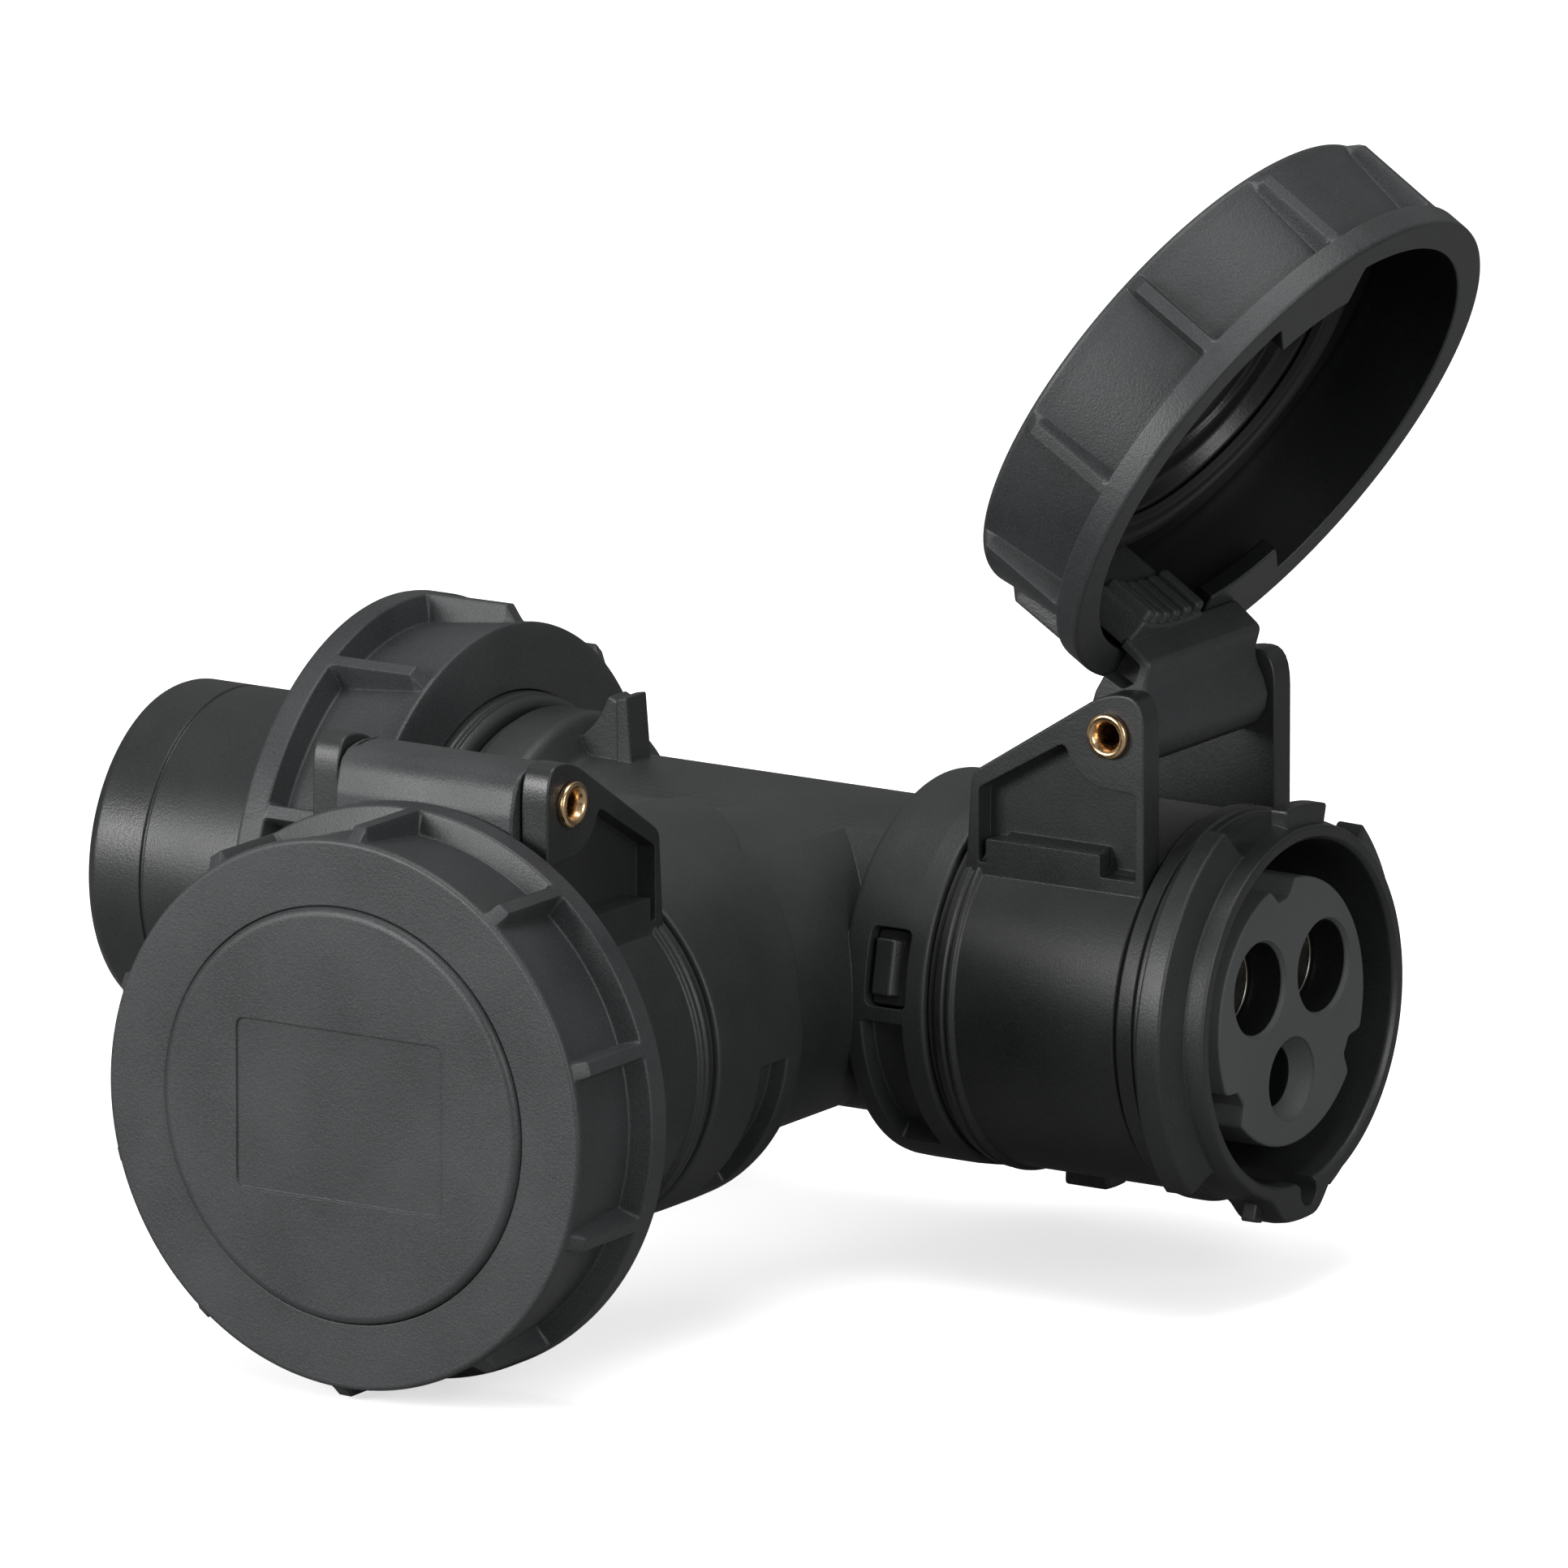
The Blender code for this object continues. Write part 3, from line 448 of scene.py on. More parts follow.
# ---------------------------------------------------------------- lid and ring
def make_ring(name, seat, open_end, bore, flange_r, phase, body, dome):
    """A bayonet ring: ribs that run into the flange of the open end, sunken panels, and two inward lugs."""
    front = open_end + RING_DEPTH
    half = 1.8
    ribs = [phase + 360 / RING_RIBS * i for i in range(RING_RIBS)]
    lugs = [(LUG_ANGLE + turn - LUG_HALF, LUG_ANGLE + turn + LUG_HALF) for turn in (0, 180)]
    edges = [r + s * half for r in ribs for s in (-1, 1)] + [e for lug in lugs for e in lug]
    angles = samples(edges, 180, 1.0)
    rib = sum(window(angles, r - half, r + half, 1.0) for r in ribs)
    inner = RING_BORE_R - 5.9 * sum(window(angles, *pair, 1.0) for pair in lugs)
    outline = [
        (front, bore, 0.12), (front, 34.8, dome), (front - 0.7, 35.0, 0.15),
        (front - 2.3, SHOULDER_R + rib * (flange_r + 0.1 - SHOULDER_R), 0.2),
        (open_end + 4.4, PANEL_R + rib * (flange_r - PANEL_R), 0.3),
        (open_end + 3.6, flange_r, 0.3), (open_end, flange_r, 0.6), (open_end, inner, 0.3),
        (open_end + 2.4, inner, 0.3), (open_end + 2.5, RING_BORE_R, 0.1), (front - 2.6, RING_BORE_R, 0.8),
        (front - 2.6, bore, 0.3)]
    ring = polar(name + "_detail", seat, outline, angles)
    dress(ring, body, "housing_black", RING, name)
    # painted shade: the ring's inner wall and lugs take the near-black material that stands in for shade
    paint_shade(ring, seat, PAINTED_SHADE, lambda x, y, z: (
        open_end + 0.5 < x < front - 2.5 and math.hypot(y, z) < RING_BORE_R + 0.3))
    return ring


def make_cap(label, seat, body):
    """The lid's disc with its arm and knuckle, and a shallow panel where a label would go."""
    flange = RING_FRONT - 2.6 - GAP
    cap = polar(label + "_lid_cap_detail", seat, [
        (DISC_FRONT, 0, 0), (DISC_FRONT, DISC_R, 1.2), (flange, DISC_R, 0.2), (flange, LID_FLANGE_R, 0.4),
        (flange - 2.2, LID_FLANGE_R, 0.4), (flange - 2.2, 26.6, 0.3), (flange - 1.3, 26.4, 0.2),
        (flange - 1.3, 25.7, 0.2), (flange - 2.2, 25.5, 0.2), (flange - 2.2, 20.4, 0.4),
        (flange - 0.2, 19.6, 0.5), (flange - 0.2, 15.2, 0.3), (flange - 1.0, 15.0, 0.2),
        (flange - 1.0, 14.0, 0.2), (flange - 0.2, 13.8, 0.3), (flange - 0.2, 0, 0)], closed=False)
    strap = band(label + "_strap", seat, 27.2, 31.4, -9, 24.6, -12.0, flange - 0.4, 0.5, 1.2)
    web = slab(label + "_web", seat, [
        (-11.2, 27.4, 0.5), (-11.4, 36.0, 0.5), (-12.8, 41.2, 3.0), (-21.6, 41.9, 4.5), (-22.9, 35.0, 3.5),
        (-17.2, 31.5, 1.5), (-16.2, 27.9, 0.8)], -13.2, 13.2, 0.5)
    add(cap, strap, web)
    for i in range(6):
        start = -8.6 + 5.8 * i
        add(cap, band("%s_strap_rib_%d" % (label, i), seat, 25.7, 28.0, start, start + 3.6, -11.7, -4.4,
                      0.7, 0.8, 5))
    notch = slab(label + "_notch", seat, [
        (-10.0, 28.6, 0), (-10.0, 33.6, 0), (-14.6, 33.2, 0.5), (-15.6, 31.4, 0.5), (-15.0, 28.9, 0.4)],
        -14.5, -10.2, 0.0)
    groove = slab(label + "_groove", seat, box_outline(8.0, 3.0, 0.3, (-17.5, 42.7)), -12.4, -11.9, 0.0)
    hole = barrel(label + "_hole", seat, -20, 20, RIVET_HOLE_R, (HINGE_X, HINGE_Z), 0.0)
    pocket = barrel(label + "_spring_pocket", seat, -14.0, SPRING_POCKET_END, 4.05, (HINGE_X, HINGE_Z), 0.0)
    panel = slab(label + "_panel", seat, box_outline(30.5, 21.7, 1.2), DISC_FRONT - 0.25, 9.5, 0.1, "yz")
    cut(cap, notch, groove, hole, pocket, panel)
    dress(cap, body, "housing_black", RING, label + "_lid_cap")
    # painted shade: the faces on the back of the cap, behind its flange, take the near-black material that
    # stands in for shade
    paint_shade(cap, seat, PAINTED_SHADE, lambda x, y, z: (
        flange - 2.5 < x < flange - 0.05 and math.hypot(y, z) < LID_FLANGE_R + 0.1))
    return cap


def make_lid_seal(label, seat, body):
    """A flat rubber ring with a groove in the face that meets the socket."""
    seal = polar(label + "_lid_seal_detail", seat, [
        (0.3, 20.9, 0.15), (0.3, 21.7, 0.2), (0.8, 22.0, 0.2), (0.8, 23.6, 0.2), (0.3, 23.9, 0.2),
        (0.3, 25.1, 0.25), (1.4, 25.3, 0.2), (1.4, 20.7, 0.2)])
    return dress(seal, body, "seal_rubber", RUBBER, label + "_lid_seal")


# ---------------------------------------------------------------- sockets
def make_shell(label, seat):
    """A socket's barrel with its bands, bayonet ramps, keyway and hinge ears."""
    ramps = [(26.0, 135.0), (206.0, 315.0)]
    key = (167.0, 192.0)
    angles = samples([e for pair in ramps for e in pair], 240, 1.6)
    ramp = sum(window(angles, *pair, 1.6) for pair in ramps)
    # each ramp's back face leans, so the ring is drawn in as it turns
    lean = sum(window(angles, a, b, 1.6) * np.clip((angles - a) / (b - a), 0, 1) for a, b in ramps)
    bulge = 0.8 * window(angles, *key, 12.0)
    end = -SHELL_LENGTH - SPIGOT_LENGTH
    shell = polar(label + "_socket_shell_detail", seat, [
        (0.0, 0, 0), (0.0, 23.9 + bulge * 3.4, 0.35), (-1.9, 24.3 + bulge * 3.3, 0.3),
        (-2.3 - 0.2 * ramp, 24.4 + bulge * 3.2, 0.1),
        (-3.3 - 0.5 * ramp, 24.4 + ramp * 4.0 + bulge * 3.2, 0.35),
        (-6.6 - 1.0 * lean, 24.4 + ramp * 4.1 + bulge * 3.2, 0.35), (-6.9 - 1.1 * lean, 24.5, 0.15),
        (-8.6, 24.5, 0.1), (-8.8, 24.7, 0.1), (-9.7, 24.7, 0.1), (-9.9, 25.1, 0.15), (-12.1, 25.1, 0.2),
        (-12.3, 23.6, 0.1), (-12.9, 23.6, 0.1), (-13.2, SHELL_R, 0.2), (-36.7, SHELL_R, 0.2),
        (-37.0, 24.75, 0.15), (-37.5, 24.8, 0.1), (-37.8, 24.4, 0.1), (-38.2, 24.4, 0.1),
        (-38.4, 24.7, 0.1), (-SHELL_LENGTH, 24.5, 0.3),
        (-SHELL_LENGTH, SPIGOT_R, 0.1), (end, SPIGOT_R, 0.3), (end, 0, 0)], angles, closed=False)
    add(shell, band(label + "_top_tab", seat, 23.0, 26.6, -15.5, 5.6, -3.6, -1.0, 0.3, 0.5, 12),
        band(label + "_bottom_lug", seat, 23.0, 26.2, 174.5, 185.5, -34.0, -27.5, 0.5, 0.8, 8),
        band(label + "_nub", seat, 23.0, 26.9, 163.0, 168.0, -4.4, -2.4, 0.3, 0.5, 6))
    for side in (-1, 1):
        add(shell, make_ear("%s_ear_%d" % (label, side), side, seat))
    spigot_bore = SPIGOT_R - SPIGOT_WALL
    bore = polar(label + "_bore", seat, [
        (1.0, 0, 0), (1.0, SHELL_BORE_R + 0.6, 0), (0.1, SHELL_BORE_R + 0.6, 0.1), (-0.6, SHELL_BORE_R, 0.3),
        (-SHELL_BORE_DEPTH, SHELL_BORE_R, 0.2), (-SHELL_BORE_DEPTH, INSERT_R + GAP, 0),
        (-SHELL_BORE_DEPTH - 3, INSERT_R + GAP, 0), (-SHELL_BORE_DEPTH - 3, spigot_bore, 0),
        (end - 1, spigot_bore, 0), (end - 1, 0, 0)], closed=False)
    keyway = polar(label + "_keyway", seat, [(2.0, 0, 0), (2.0, 1.9, 0), (-24.0, 1.9, 0.8), (-24.0, 0, 0)],
                   samples(count=40), False, around(183.5, 23.3))
    slot = slab(label + "_slot", seat, box_outline(3.7, 3.0, 0.3, around(183.5, 21.8)), -24.0, 2.0, 0.0, "yz")
    hole = barrel(label + "_rivet_hole", seat, -20, 20, RIVET_HOLE_R, (HINGE_X, HINGE_Z), 0.0)
    cut(shell, bore, keyway, slot, hole)
    return dress(shell, "root", "shell_black", SHELL, label + "_socket_shell")


def make_ear(name, side, seat):
    """A hinge ear: round at the rivet, with a rim and a sunken outer face."""
    ear = slab(name, seat, [
        (-12.87, 16.4, 0.4), (-12.87, 42.4, 5.0), (-18.5, 42.4, 3.0), (-38.4, 29.7, 1.4), (-39.3, 16.4, 0.4)],
        *sorted((side * EAR_IN, side * EAR_OUT)), 0.3, steps=6)
    sunk = slab(name + "_sunk", seat, [
        (-37.3, 27.9, 0.6), (-24.6, 35.3, 1.0), (-23.0, 32.0, 1.5), (-19.9, 30.1, 1.5), (-14.0, 29.9, 0.8),
        (-14.0, 18.6, 0.4), (-19.3, 18.6, 0.3), (-19.3, 21.4, 0.3), (-36.2, 21.4, 0.3), (-36.2, 18.3, 0.3),
        (-37.3, 18.3, 0.3)], *sorted((side * 22.0, side * 14.7)), 0.0)
    ledge = slab(name + "_ledge", seat, [
        (side * 14.0, 22.0, 0), (side * 14.9, 22.0, 0.3), (side * 17.4, 20.9, 0.5), (side * 17.4, 17.0, 0),
        (side * 14.0, 17.0, 0)], -34.2, -19.3, 0.2, "yz")
    return add(cut(ear, sunk), ledge)


def make_insert(label, seat):
    """The contact carrier: three round entries and three grooves round its edge."""
    grooves = (7.0, 127.0, -118.0)
    angles = samples([g + s * 9 for g in grooves for s in (-1, 1)], 180, 4.0)
    dip = sum(window(angles, g - 7.5, g + 7.5, 7.0) for g in grooves)
    insert = polar(label + "_contact_insert_detail", seat, [
        (INSERT_FACE, 0, 0), (INSERT_FACE, INSERT_R - 2.3 * dip, 0.35), (-20.0, INSERT_R - 2.3 * dip, 0.5),
        (-21.0, INSERT_R, 0.5), (-SHELL_BORE_DEPTH - 2.8, INSERT_R, 0.3), (-SHELL_BORE_DEPTH - 2.8, 0, 0)],
        angles, closed=False)
    for name, angle, entry_r, _ in CONTACTS:
        at = around(angle, PIN_CIRCLE_R)
        if name == "earth":
            profile = [(1.0, 0, 0), (1.0, entry_r + 0.2, 0), (INSERT_FACE - 0.2, entry_r, 0.2),
                       (INSERT_FACE - 3.0, 3.9, 0.3), (-9.3, 3.9, 0.1), (-9.3, entry_r, 0.1),
                       (-SHELL_LENGTH, entry_r, 0), (-SHELL_LENGTH, 0, 0)]
        else:
            profile = [(1.0, 0, 0), (1.0, entry_r + 0.4, 0), (INSERT_FACE, entry_r + 0.4, 0.3),
                       (INSERT_FACE - 0.5, entry_r, 0.2), (-SHELL_LENGTH, entry_r, 0), (-SHELL_LENGTH, 0, 0)]
        cut(insert, polar("%s_mouth_%s" % (label, name), seat, profile, samples(count=96), False, at))
    dress(insert, "root", "carrier_grey", CARRIER, label + "_contact_insert")
    # painted shade: the walls of the contact entries, more than 0.9 mm in, take the near-black material that
    # stands in for shade
    paint_shade(insert, seat, PAINTED_SHADE, lambda x, y, z: -30.0 < x < INSERT_FACE - 0.9 and any(
        math.dist((y, z), around(angle, PIN_CIRCLE_R)) < (4.0 if name == "earth" else entry_r + 0.1)
        for name, angle, entry_r, _ in CONTACTS))
    return insert


def make_contact(label, name, angle, entry_r, pin_r, seat):
    """A sprung contact sleeve with a rolled mouth."""
    inner = pin_r + 0.6
    front = -9.6 if name == "earth" else -6.9
    sleeve = polar("%s_contact_%s_detail" % (label, name), seat, [
        (-30.0, inner, 0.2), (front - 5.0, inner, 0.5), (front - 3.0, entry_r - 1.1, 0.5),
        (front, entry_r - 0.8, 0.2), (front, entry_r - 0.35, 0.2), (-30.0, entry_r - 0.35, 0.2)],
        samples(count=72), True, around(angle, PIN_CIRCLE_R))
    return dress(sleeve, "root", "contact_brass", CONTACT, "%s_contact_%s" % (label, name))


def make_rivet(label, seat):
    """A hollow rivet with rolled ends."""
    turned = seat @ axes((HINGE_X, 0, HINGE_Z), (0, 1, 0), (-1, 0, 0), (0, 0, 1))
    half, head = 17.8, 18.55
    outline = [(-17.4, 2.1, 0.1), (-17.55, 2.9, 0.2), (-head + 0.1, 2.95, 0.45), (-head, 2.1, 0.4),
               (-half + 0.4, 1.45, 0.5), (half - 0.4, 1.45, 0.5), (head, 2.1, 0.4), (head - 0.1, 2.95, 0.45),
               (17.55, 2.9, 0.2), (17.4, 2.1, 0.1)]
    rivet = polar(label + "_hinge_pin_detail", turned, outline, samples(count=72), steps=4)
    return dress(rivet, "root", "contact_brass", BRASS, label + "_hinge_pin", sharp=60)


def make_spring(label, seat):
    """The coil round the rivet, hidden in the knuckle."""
    wire_r, coil_r, turns = 0.45, 3.25, 3
    steps = 24 * turns
    low_y = -EAR_IN + GAP + wire_r
    high_y = SPRING_POCKET_END - GAP - wire_r
    points = [(HINGE_X + coil_r * math.cos(2 * math.pi * i / 24), low_y + (high_y - low_y) * i / steps,
               HINGE_Z + coil_r * math.sin(2 * math.pi * i / 24)) for i in range(steps + 1)]
    return dress(path_tube(label + "_lid_spring_detail", seat, points, wire_r), "root", "spring_steel", STEEL,
                 label + "_lid_spring", sharp=70)


def make_seal(name, seat, back, front, inner, outer, body="root"):
    middle = (back + front) / 2
    seal = polar(name + "_detail", seat, [
        (back, inner, 0.1), (back, outer, 0.25), (middle, outer - 0.2, 0.1), (front, outer, 0.25),
        (front, inner, 0.1)])
    return dress(seal, body, "seal_rubber", RUBBER, name)


# ---------------------------------------------------------------- tee
def make_tee():
    """The hollow T-piece with its collars, pockets, fin and snap windows."""
    inline_end = INLINE_FACE - SHELL_LENGTH - SEAL_SLOT
    side_end = SIDE_FACE - SHELL_LENGTH - SEAL_SLOT
    plug_end = PLUG_FACE - PLUG_LENGTH - SEAL_SLOT
    pockets = [(96.0, 142.0), (-142.0, -96.0)]
    angles = samples([e for pair in pockets for e in pair], 144, 1.5)
    sunk = sum(window(angles, *pair, 1.5) for pair in pockets)
    run = polar("tee_housing_detail", TEE, [
        (inline_end, 0, 0), (inline_end, 24.6, 0.6), (27.4, COLLAR_R, 0.1),
        (27.0, COLLAR_R - 2.6 * sunk, 0.2), (21.8, COLLAR_R - 2.2 * sunk, 0.2), (21.4, COLLAR_R, 0.3),
        (18.4, 24.7, 0.8), (18.0, TUBE_R, 0.2), (-34.4, TUBE_R, 1.0), (-36.9, COLLAR_R, 1.2),
        (-plug_end, COLLAR_R, 0.5), (-plug_end, 0, 0)], angles, False)
    arm_seat = TEE @ axes((0, 0, 0), (0, -1, 0), (1, 0, 0), (0, 0, 1))
    away = np.abs((angles + 180) % 360 - 180)
    # the side collar's shoulder sits further back towards the top of the run
    root_at = 42.3 - 4.6 * (1 - np.clip((away - 38) / 40, 0, 1)) - 9.0 * (1 - np.clip(away / 30, 0, 1)) ** 0.8
    arm = polar("tee_arm", arm_seat, [
        (side_end, 0, 0), (side_end, 24.6, 0.6), (53.0, COLLAR_R, 0.1), (52.6, COLLAR_R - 2.4 * sunk, 0.2),
        (47.2, COLLAR_R - 2.2 * sunk, 0.2), (46.8, COLLAR_R, 0.3), (root_at + 0.5, 24.7, 0.9),
        (root_at, TUBE_R - SIDE_ARM_INSET, 0.3), (0, TUBE_R - SIDE_ARM_INSET, 0), (0, 0, 0)], angles, False)
    add(run, arm)
    blade = slab("fin_blade", TEE, [
        (-27.4, 17.0, 0), (-28.4, 28.6, 0.3), (-30.0, 28.3, 0.3), (-29.9, 17.0, 0)], -2.35, 2.35, 0.25)
    web = slab("fin_web", TEE, [
        (-29.0, 17.0, 0), (-29.0, 28.2, 0.3), (-30.2, 27.9, 0.6), (-31.4, 28.5, 0.5), (-32.9, 25.4, 1.5),
        (-34.6, 23.4, 1.5), (-39.0, 20.6, 0.5), (-39.0, 17.0, 0)], -2.0, 2.0, 0.3)
    add(run, blade, web)
    seat_depth = SPIGOT_LENGTH - SEAL_SLOT + GAP
    seat_r = SPIGOT_R + GAP
    arm_bore_r = TUBE_BORE_R - SIDE_ARM_INSET
    plain = samples(count=144)
    bore = polar("bore_run", TEE, [
        (inline_end + 1, 0, 0), (inline_end + 1, seat_r, 0), (inline_end - seat_depth, seat_r, 0),
        (inline_end - seat_depth, TUBE_BORE_R, 0), (seat_depth - plug_end, TUBE_BORE_R, 0),
        (seat_depth - plug_end, seat_r, 0), (-plug_end - 1, seat_r, 0), (-plug_end - 1, 0, 0)], plain, False)
    arm_bore = polar("bore_arm", arm_seat, [
        (side_end + 1, 0, 0), (side_end + 1, seat_r, 0), (side_end - seat_depth, seat_r, 0),
        (side_end - seat_depth, arm_bore_r, 0), (0, arm_bore_r, 0), (0, 0, 0)], plain, False)
    cut(run, bore, arm_bore)
    for label, seat in (("inline", INLINE), ("side", SIDE)):
        opening = box_outline(6.0, 10.2, 1.0, (WINDOW_X, 0))
        cut(run, slab(label + "_window", window_frame(seat, COLLAR_R), opening, -6.0, 4.0, 0.0, "xy"))
    return dress(run, "root", "housing_black", HOUSING, "tee_housing")


def window_frame(seat, radius):
    """A frame on a collar's snap window, with +Z pointing out of the collar."""
    y, z = around(WINDOW_ANGLE, radius)
    turn = math.radians(WINDOW_ANGLE)
    c, s = math.cos(turn), math.sin(turn)
    return seat @ axes((0, y, z), (1, 0, 0), (0, c, s), (0, -s, c))


def make_latch(label, seat):
    """The snap tongue in a collar's window, with a sloping nib."""
    local = window_frame(seat, SPIGOT_R + 1.1)
    outline = box_outline(5.4, 9.6, 0.8, (WINDOW_X, 0))
    tongue = slab(label + "_latch_detail", local, outline, -0.6, 0.6, 0.2, "xy")
    nib = slab(label + "_nib", local, [
        (-49.2, 0.4, 0), (-45.2, 0.4, 0), (-46.2, 2.0, 0.4), (-48.8, 2.0, 0.4)], -3.6, 3.6, 0.3)
    return dress(add(tongue, nib), "root", "housing_black", SHELL, label + "_latch")


# ---------------------------------------------------------------- plug
def make_plug():
    """The plug inlet: shroud and hub, contact carrier, pins, bayonet ring and seals."""
    spigot_end = -PLUG_LENGTH - SPIGOT_LENGTH
    spigot_bore = SPIGOT_R - SPIGOT_WALL
    shell = polar("plug_shell_detail", PLUG, [
        (0.0, 21.3, 0.5), (-1.2, 21.75, 0.3), (-8.2, 21.75, 0.1), (-8.35, 21.45, 0.1), (-8.65, 21.45, 0.1),
        (-8.8, 21.75, 0.1), (-44.8, 21.75, 0.3), (-44.8, LID_FLANGE_R, 0.4), (-47.3, LID_FLANGE_R, 0.4),
        (-47.3, 26.2, 0.3), (-51.2, 26.2, 0.5), (-51.5, 25.7, 0.2), (-51.9, 25.7, 0.2), (-52.1, 26.0, 0.2),
        (-PLUG_LENGTH, 25.2, 0.8), (-PLUG_LENGTH, SPIGOT_R, 0.1), (spigot_end, SPIGOT_R, 0.3),
        (spigot_end, spigot_bore, 0.3), (-42.0, spigot_bore, 0.1), (-42.0, 19.4, 0.1), (0.0, 19.4, 0.5)])
    key = slab("plug_key", PLUG, box_outline(30.0, 4.2, 0.8, (-16.0, -21.2)), -1.5, 1.5, 0.4)
    add(shell, key)
    dress(shell, "root", "shell_black", SHELL, "plug_shell")
    carrier = polar("plug_carrier_detail", PLUG, [
        (-34.0, 0, 0), (-34.0, 19.1, 0.4), (-41.5, 19.1, 0.3), (-41.5, 0, 0)], closed=False)
    for name, angle, _, pin_r in CONTACTS:
        y, z = around(angle, PIN_CIRCLE_R)
        raised = polar("boss_" + name, PLUG, [
            (-33.2, 0, 0), (-33.2, pin_r + 1.4, 0.3), (-36.0, pin_r + 1.6, 0), (-36.0, 0, 0)],
            samples(count=64), False, (-y, z))
        add(carrier, raised)
    for name, angle, _, pin_r in CONTACTS:
        y, z = around(angle, PIN_CIRCLE_R)
        hole = polar("hole_" + name, PLUG, [
            (-30.0, 0, 0), (-30.0, pin_r + GAP, 0), (-43.0, pin_r + GAP, 0), (-43.0, 0, 0)],
            samples(count=64), False, (-y, z))
        cut(carrier, hole)
        pin = polar("plug_pin_%s_detail" % name, PLUG, [
            (-6.0, 0, 0), (-6.0, pin_r * 0.55, 0.5), (-7.6, pin_r, 0.8), (-44.0, pin_r, 0.3), (-44.0, 0, 0)],
            samples(count=64), False, (-y, z))
        dress(pin, "root", "contact_brass", CONTACT, "plug_pin_" + name)
    dress(carrier, "root", "carrier_grey", CARRIER, "plug_carrier")
    make_ring("plug_ring", PLUG_RING, 32.2, 26.35, 37.0, -7.0, "plug_ring", 3.2)
    make_seal("plug_seal", PLUG, -44.5, -42.0, 22.05, 29.0)
    make_seal("plug_body_seal", PLUG, GAP - SEAL_SLOT - PLUG_LENGTH, -PLUG_LENGTH - GAP, SPIGOT_R + GAP, 24.0)


# ---------------------------------------------------------------- everything
make_tee()
make_plug()
for LABEL, SEAT, LID, PHASE in (("inline", INLINE, INLINE_LID, 17.5), ("side", SIDE, SIDE, -2.0)):
    make_latch(LABEL, SEAT)
    make_shell(LABEL, SEAT)
    make_insert(LABEL, SEAT)
    for CONTACT_NAME, ANGLE, ENTRY, PIN in CONTACTS:
        make_contact(LABEL, CONTACT_NAME, ANGLE, ENTRY, PIN, SEAT)
    make_rivet(LABEL, SEAT)
    make_spring(LABEL, SEAT)
    make_seal(LABEL + "_body_seal", SEAT, GAP - SEAL_SLOT - SHELL_LENGTH, -SHELL_LENGTH - GAP, SPIGOT_R + GAP,
              24.0)
    make_cap(LABEL, LID, LABEL + "_lid")
    make_ring(LABEL + "_lid_ring", LID, -11.2, 26.52, 36.4, PHASE, LABEL + "_ring", 0.5)
    make_lid_seal(LABEL, LID, LABEL + "_lid")


def colour_leads():
    """The leads keep their plain meshes and take moulded materials."""
    tones = {"earth": ((0.16, 0.36, 0.05), (0.26, 0.48, 0.08)),
             "line": ((0.16, 0.07, 0.03), (0.24, 0.11, 0.06)),
             "neutral": ((0.03, 0.10, 0.36), (0.06, 0.15, 0.46))}
    for name, (dark, light) in tones.items():
        material = moulded("lead_%s_sleeve" % name, dark, light, 0.42, 0.1, 0.2, 0.0)
        for kind in ("run", "branch"):
            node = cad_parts["lead_%s_%s" % (name, kind)]
            for slot in node.material_slots:
                slot.material = material
        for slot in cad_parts["lead_%s_splice" % name].material_slots:
            slot.material = STEEL


colour_leads()


# ---------------------------------------------------------------- stage
def make_stage():
    """A pale floor: the camera sees it white, and it throws only a little light back at the object."""
    floor_mesh = bpy.data.meshes.new("floor")
    reach = 6.0
    corners = [(-reach, -reach, 0), (reach, -reach, 0), (reach, reach, 0), (-reach, reach, 0)]
    floor_mesh.from_pydata(corners, [], [(0, 1, 2, 3)])
    floor = bpy.data.objects.new("floor", floor_mesh)
    bpy.context.scene.collection.objects.link(floor)
    material, tree, shader = new_material("floor_white")
    shader.inputs["Roughness"].default_value = 0.9
    shader.inputs["Emission Color"].default_value = (1, 1, 1, 1)
    rays = tree.nodes.new("ShaderNodeLightPath")
    tone = tree.nodes.new("ShaderNodeMix")
    tone.data_type = "RGBA"
    tone.inputs["A"].default_value = (0.24, 0.24, 0.24, 1)
    tone.inputs["B"].default_value = (0.95, 0.95, 0.95, 1)
    link(tree, rays, "Is Camera Ray", tone, "Factor")
    link(tree, tone, "Result", shader, "Base Color")
    glow = tree.nodes.new("ShaderNodeMath")
    glow.operation = "MULTIPLY"
    glow.inputs[1].default_value = 0.62
    link(tree, rays, "Is Camera Ray", glow, 0)
    link(tree, glow, "Value", shader, "Emission Strength")
    floor_mesh.materials.append(material)


def area_light(name, place, aim, size, power, size_y=None):
    light = bpy.data.lights.new(name, "AREA")
    light.shape = "RECTANGLE"
    light.size = size
    light.size_y = size_y or size
    light.energy = power
    obj = bpy.data.objects.new(name, light)
    obj.location = place
    obj.rotation_euler = (Vector(aim) - Vector(place)).to_track_quat("-Z", "Y").to_euler()
    bpy.context.scene.collection.objects.link(obj)


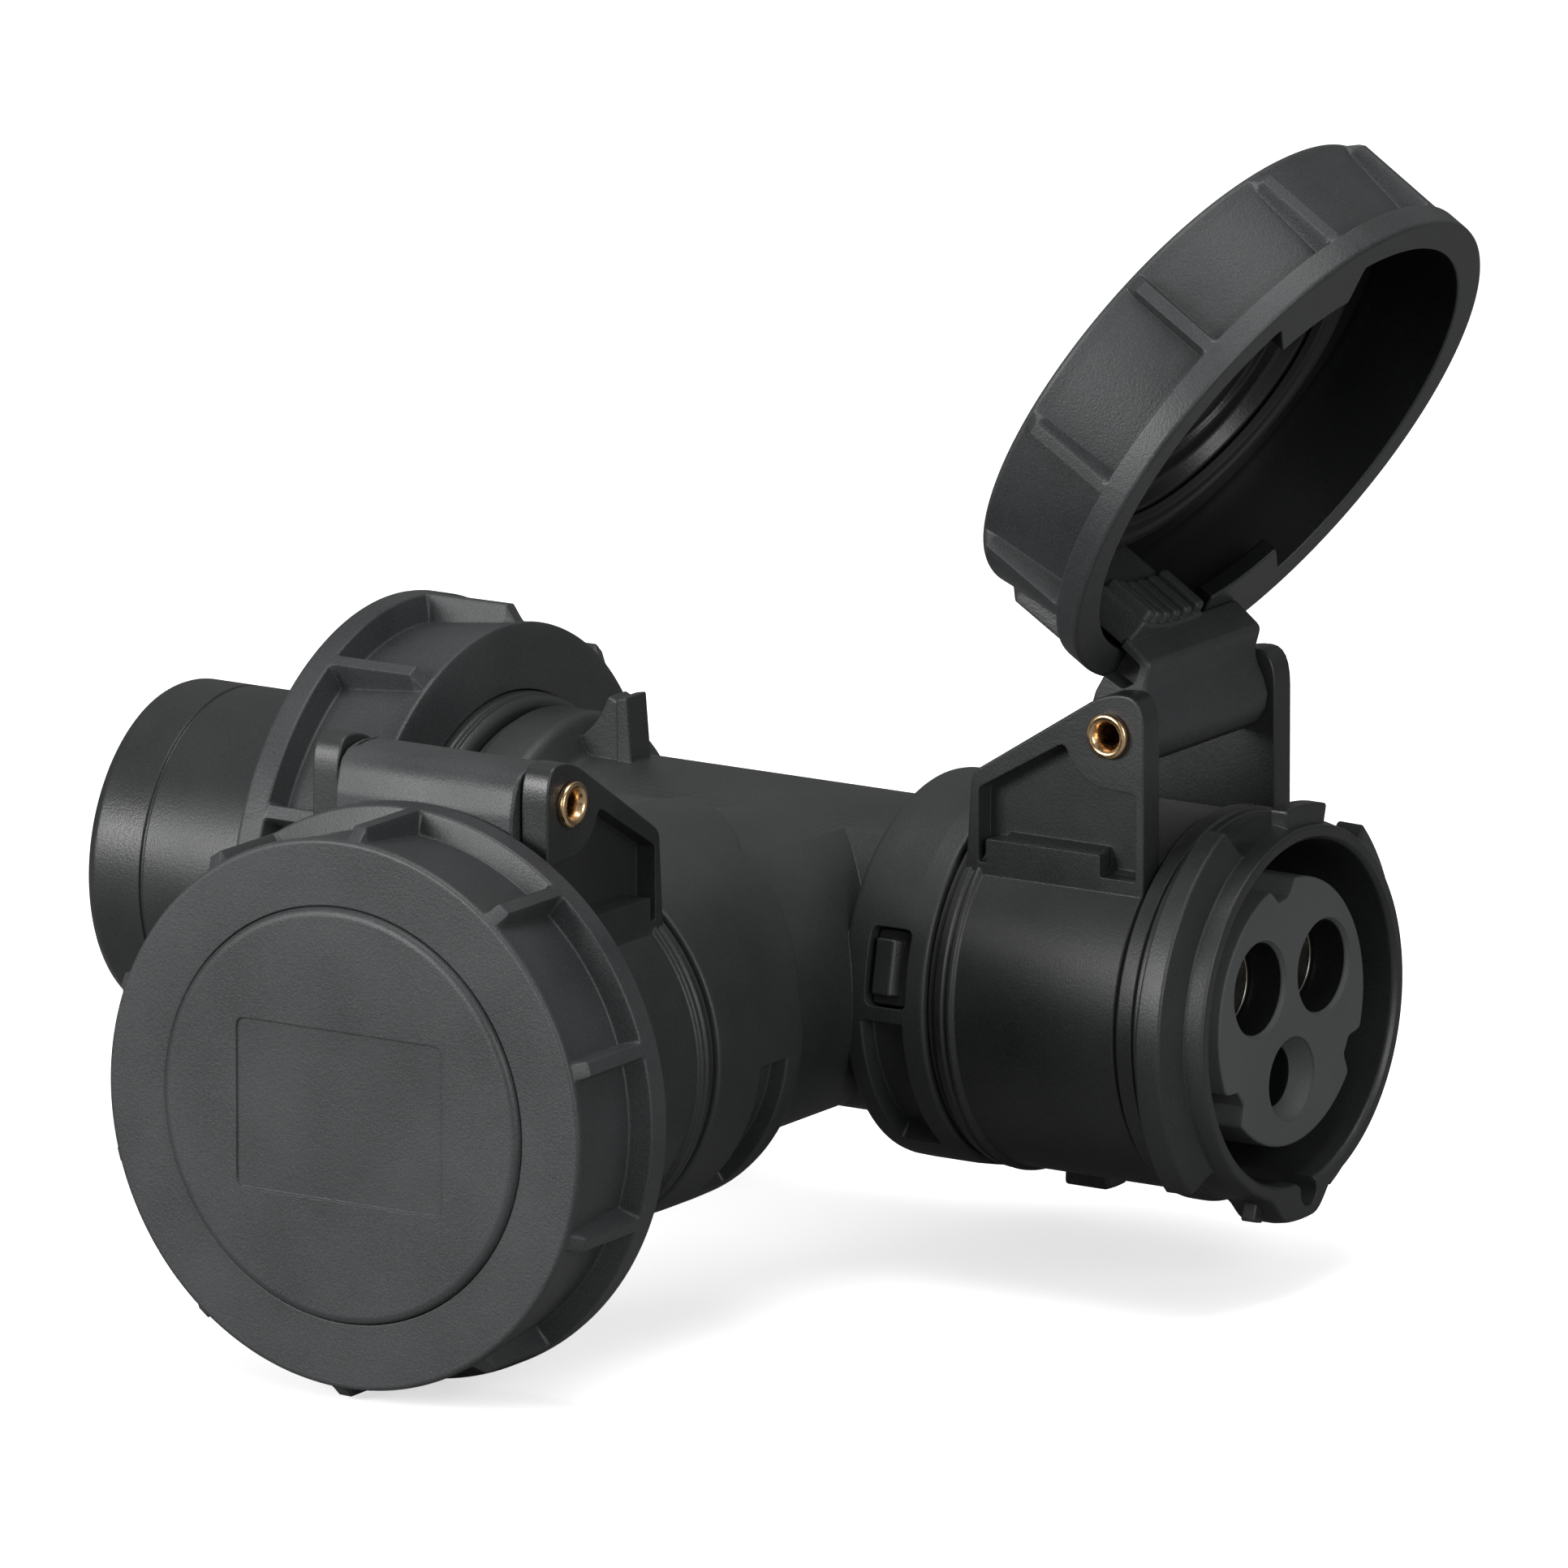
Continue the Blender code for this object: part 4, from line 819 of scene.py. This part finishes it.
def make_camera():
    azimuth, elevation = math.radians(32.84), math.radians(13.17)
    back = Vector((math.sin(azimuth) * math.cos(elevation), -math.cos(azimuth) * math.cos(elevation),
                   math.sin(elevation)))
    right = Vector((math.cos(azimuth), math.sin(azimuth), 0))
    up = back.cross(right)
    centre = Vector(TEE[:3, 3].tolist())
    camera = bpy.data.cameras.new("camera")
    camera.sensor_width = 36
    camera.lens = 676.12
    camera.clip_end = 50
    obj = bpy.data.objects.new("camera", camera)
    obj.location = (centre + back * 3736.7 + right * -5.1 + up * 19.98) * MM
    obj.rotation_euler = Matrix((right, up, back)).transposed().to_euler()
    bpy.context.scene.collection.objects.link(obj)
    bpy.context.scene.camera = obj


def make_world(low_light, high_light):
    """White to the camera. The object is lit by a dim surround that is brighter overhead."""
    world = bpy.data.worlds.new("studio")
    world.use_nodes = True
    tree = world.node_tree
    background = tree.nodes["Background"]
    background.inputs["Color"].default_value = (1, 1, 1, 1)
    place = tree.nodes.new("ShaderNodeTexCoord")
    split = tree.nodes.new("ShaderNodeSeparateXYZ")
    link(tree, place, "Generated", split, "Vector")
    rise = tree.nodes.new("ShaderNodeMapRange")
    rise.inputs["From Min"].default_value = -0.2
    rise.inputs["To Min"].default_value = low_light
    rise.inputs["To Max"].default_value = high_light
    link(tree, split, "Z", rise, "Value")
    rays = tree.nodes.new("ShaderNodeLightPath")
    pick = tree.nodes.new("ShaderNodeMix")
    link(tree, rays, "Is Camera Ray", pick, "Factor")
    link(tree, rise, "Result", pick, "A")
    pick.inputs["B"].default_value = 1.0
    link(tree, pick, "Result", background, "Strength")
    bpy.context.scene.world = world


make_stage()
make_camera()
make_world(0.08, 0.38)
area_light("key", (-0.52, -1.08, 0.40), (0, 0, 0.06), 0.62, 13.0, 0.42)
area_light("right", (1.05, -0.55, 0.42), (0, 0, 0.05), 0.60, 6.0)
area_light("top", (0.10, -0.10, 1.20), (0, 0, 0.05), 0.70, 8.0)
bpy.context.scene.view_settings.view_transform = "Standard"
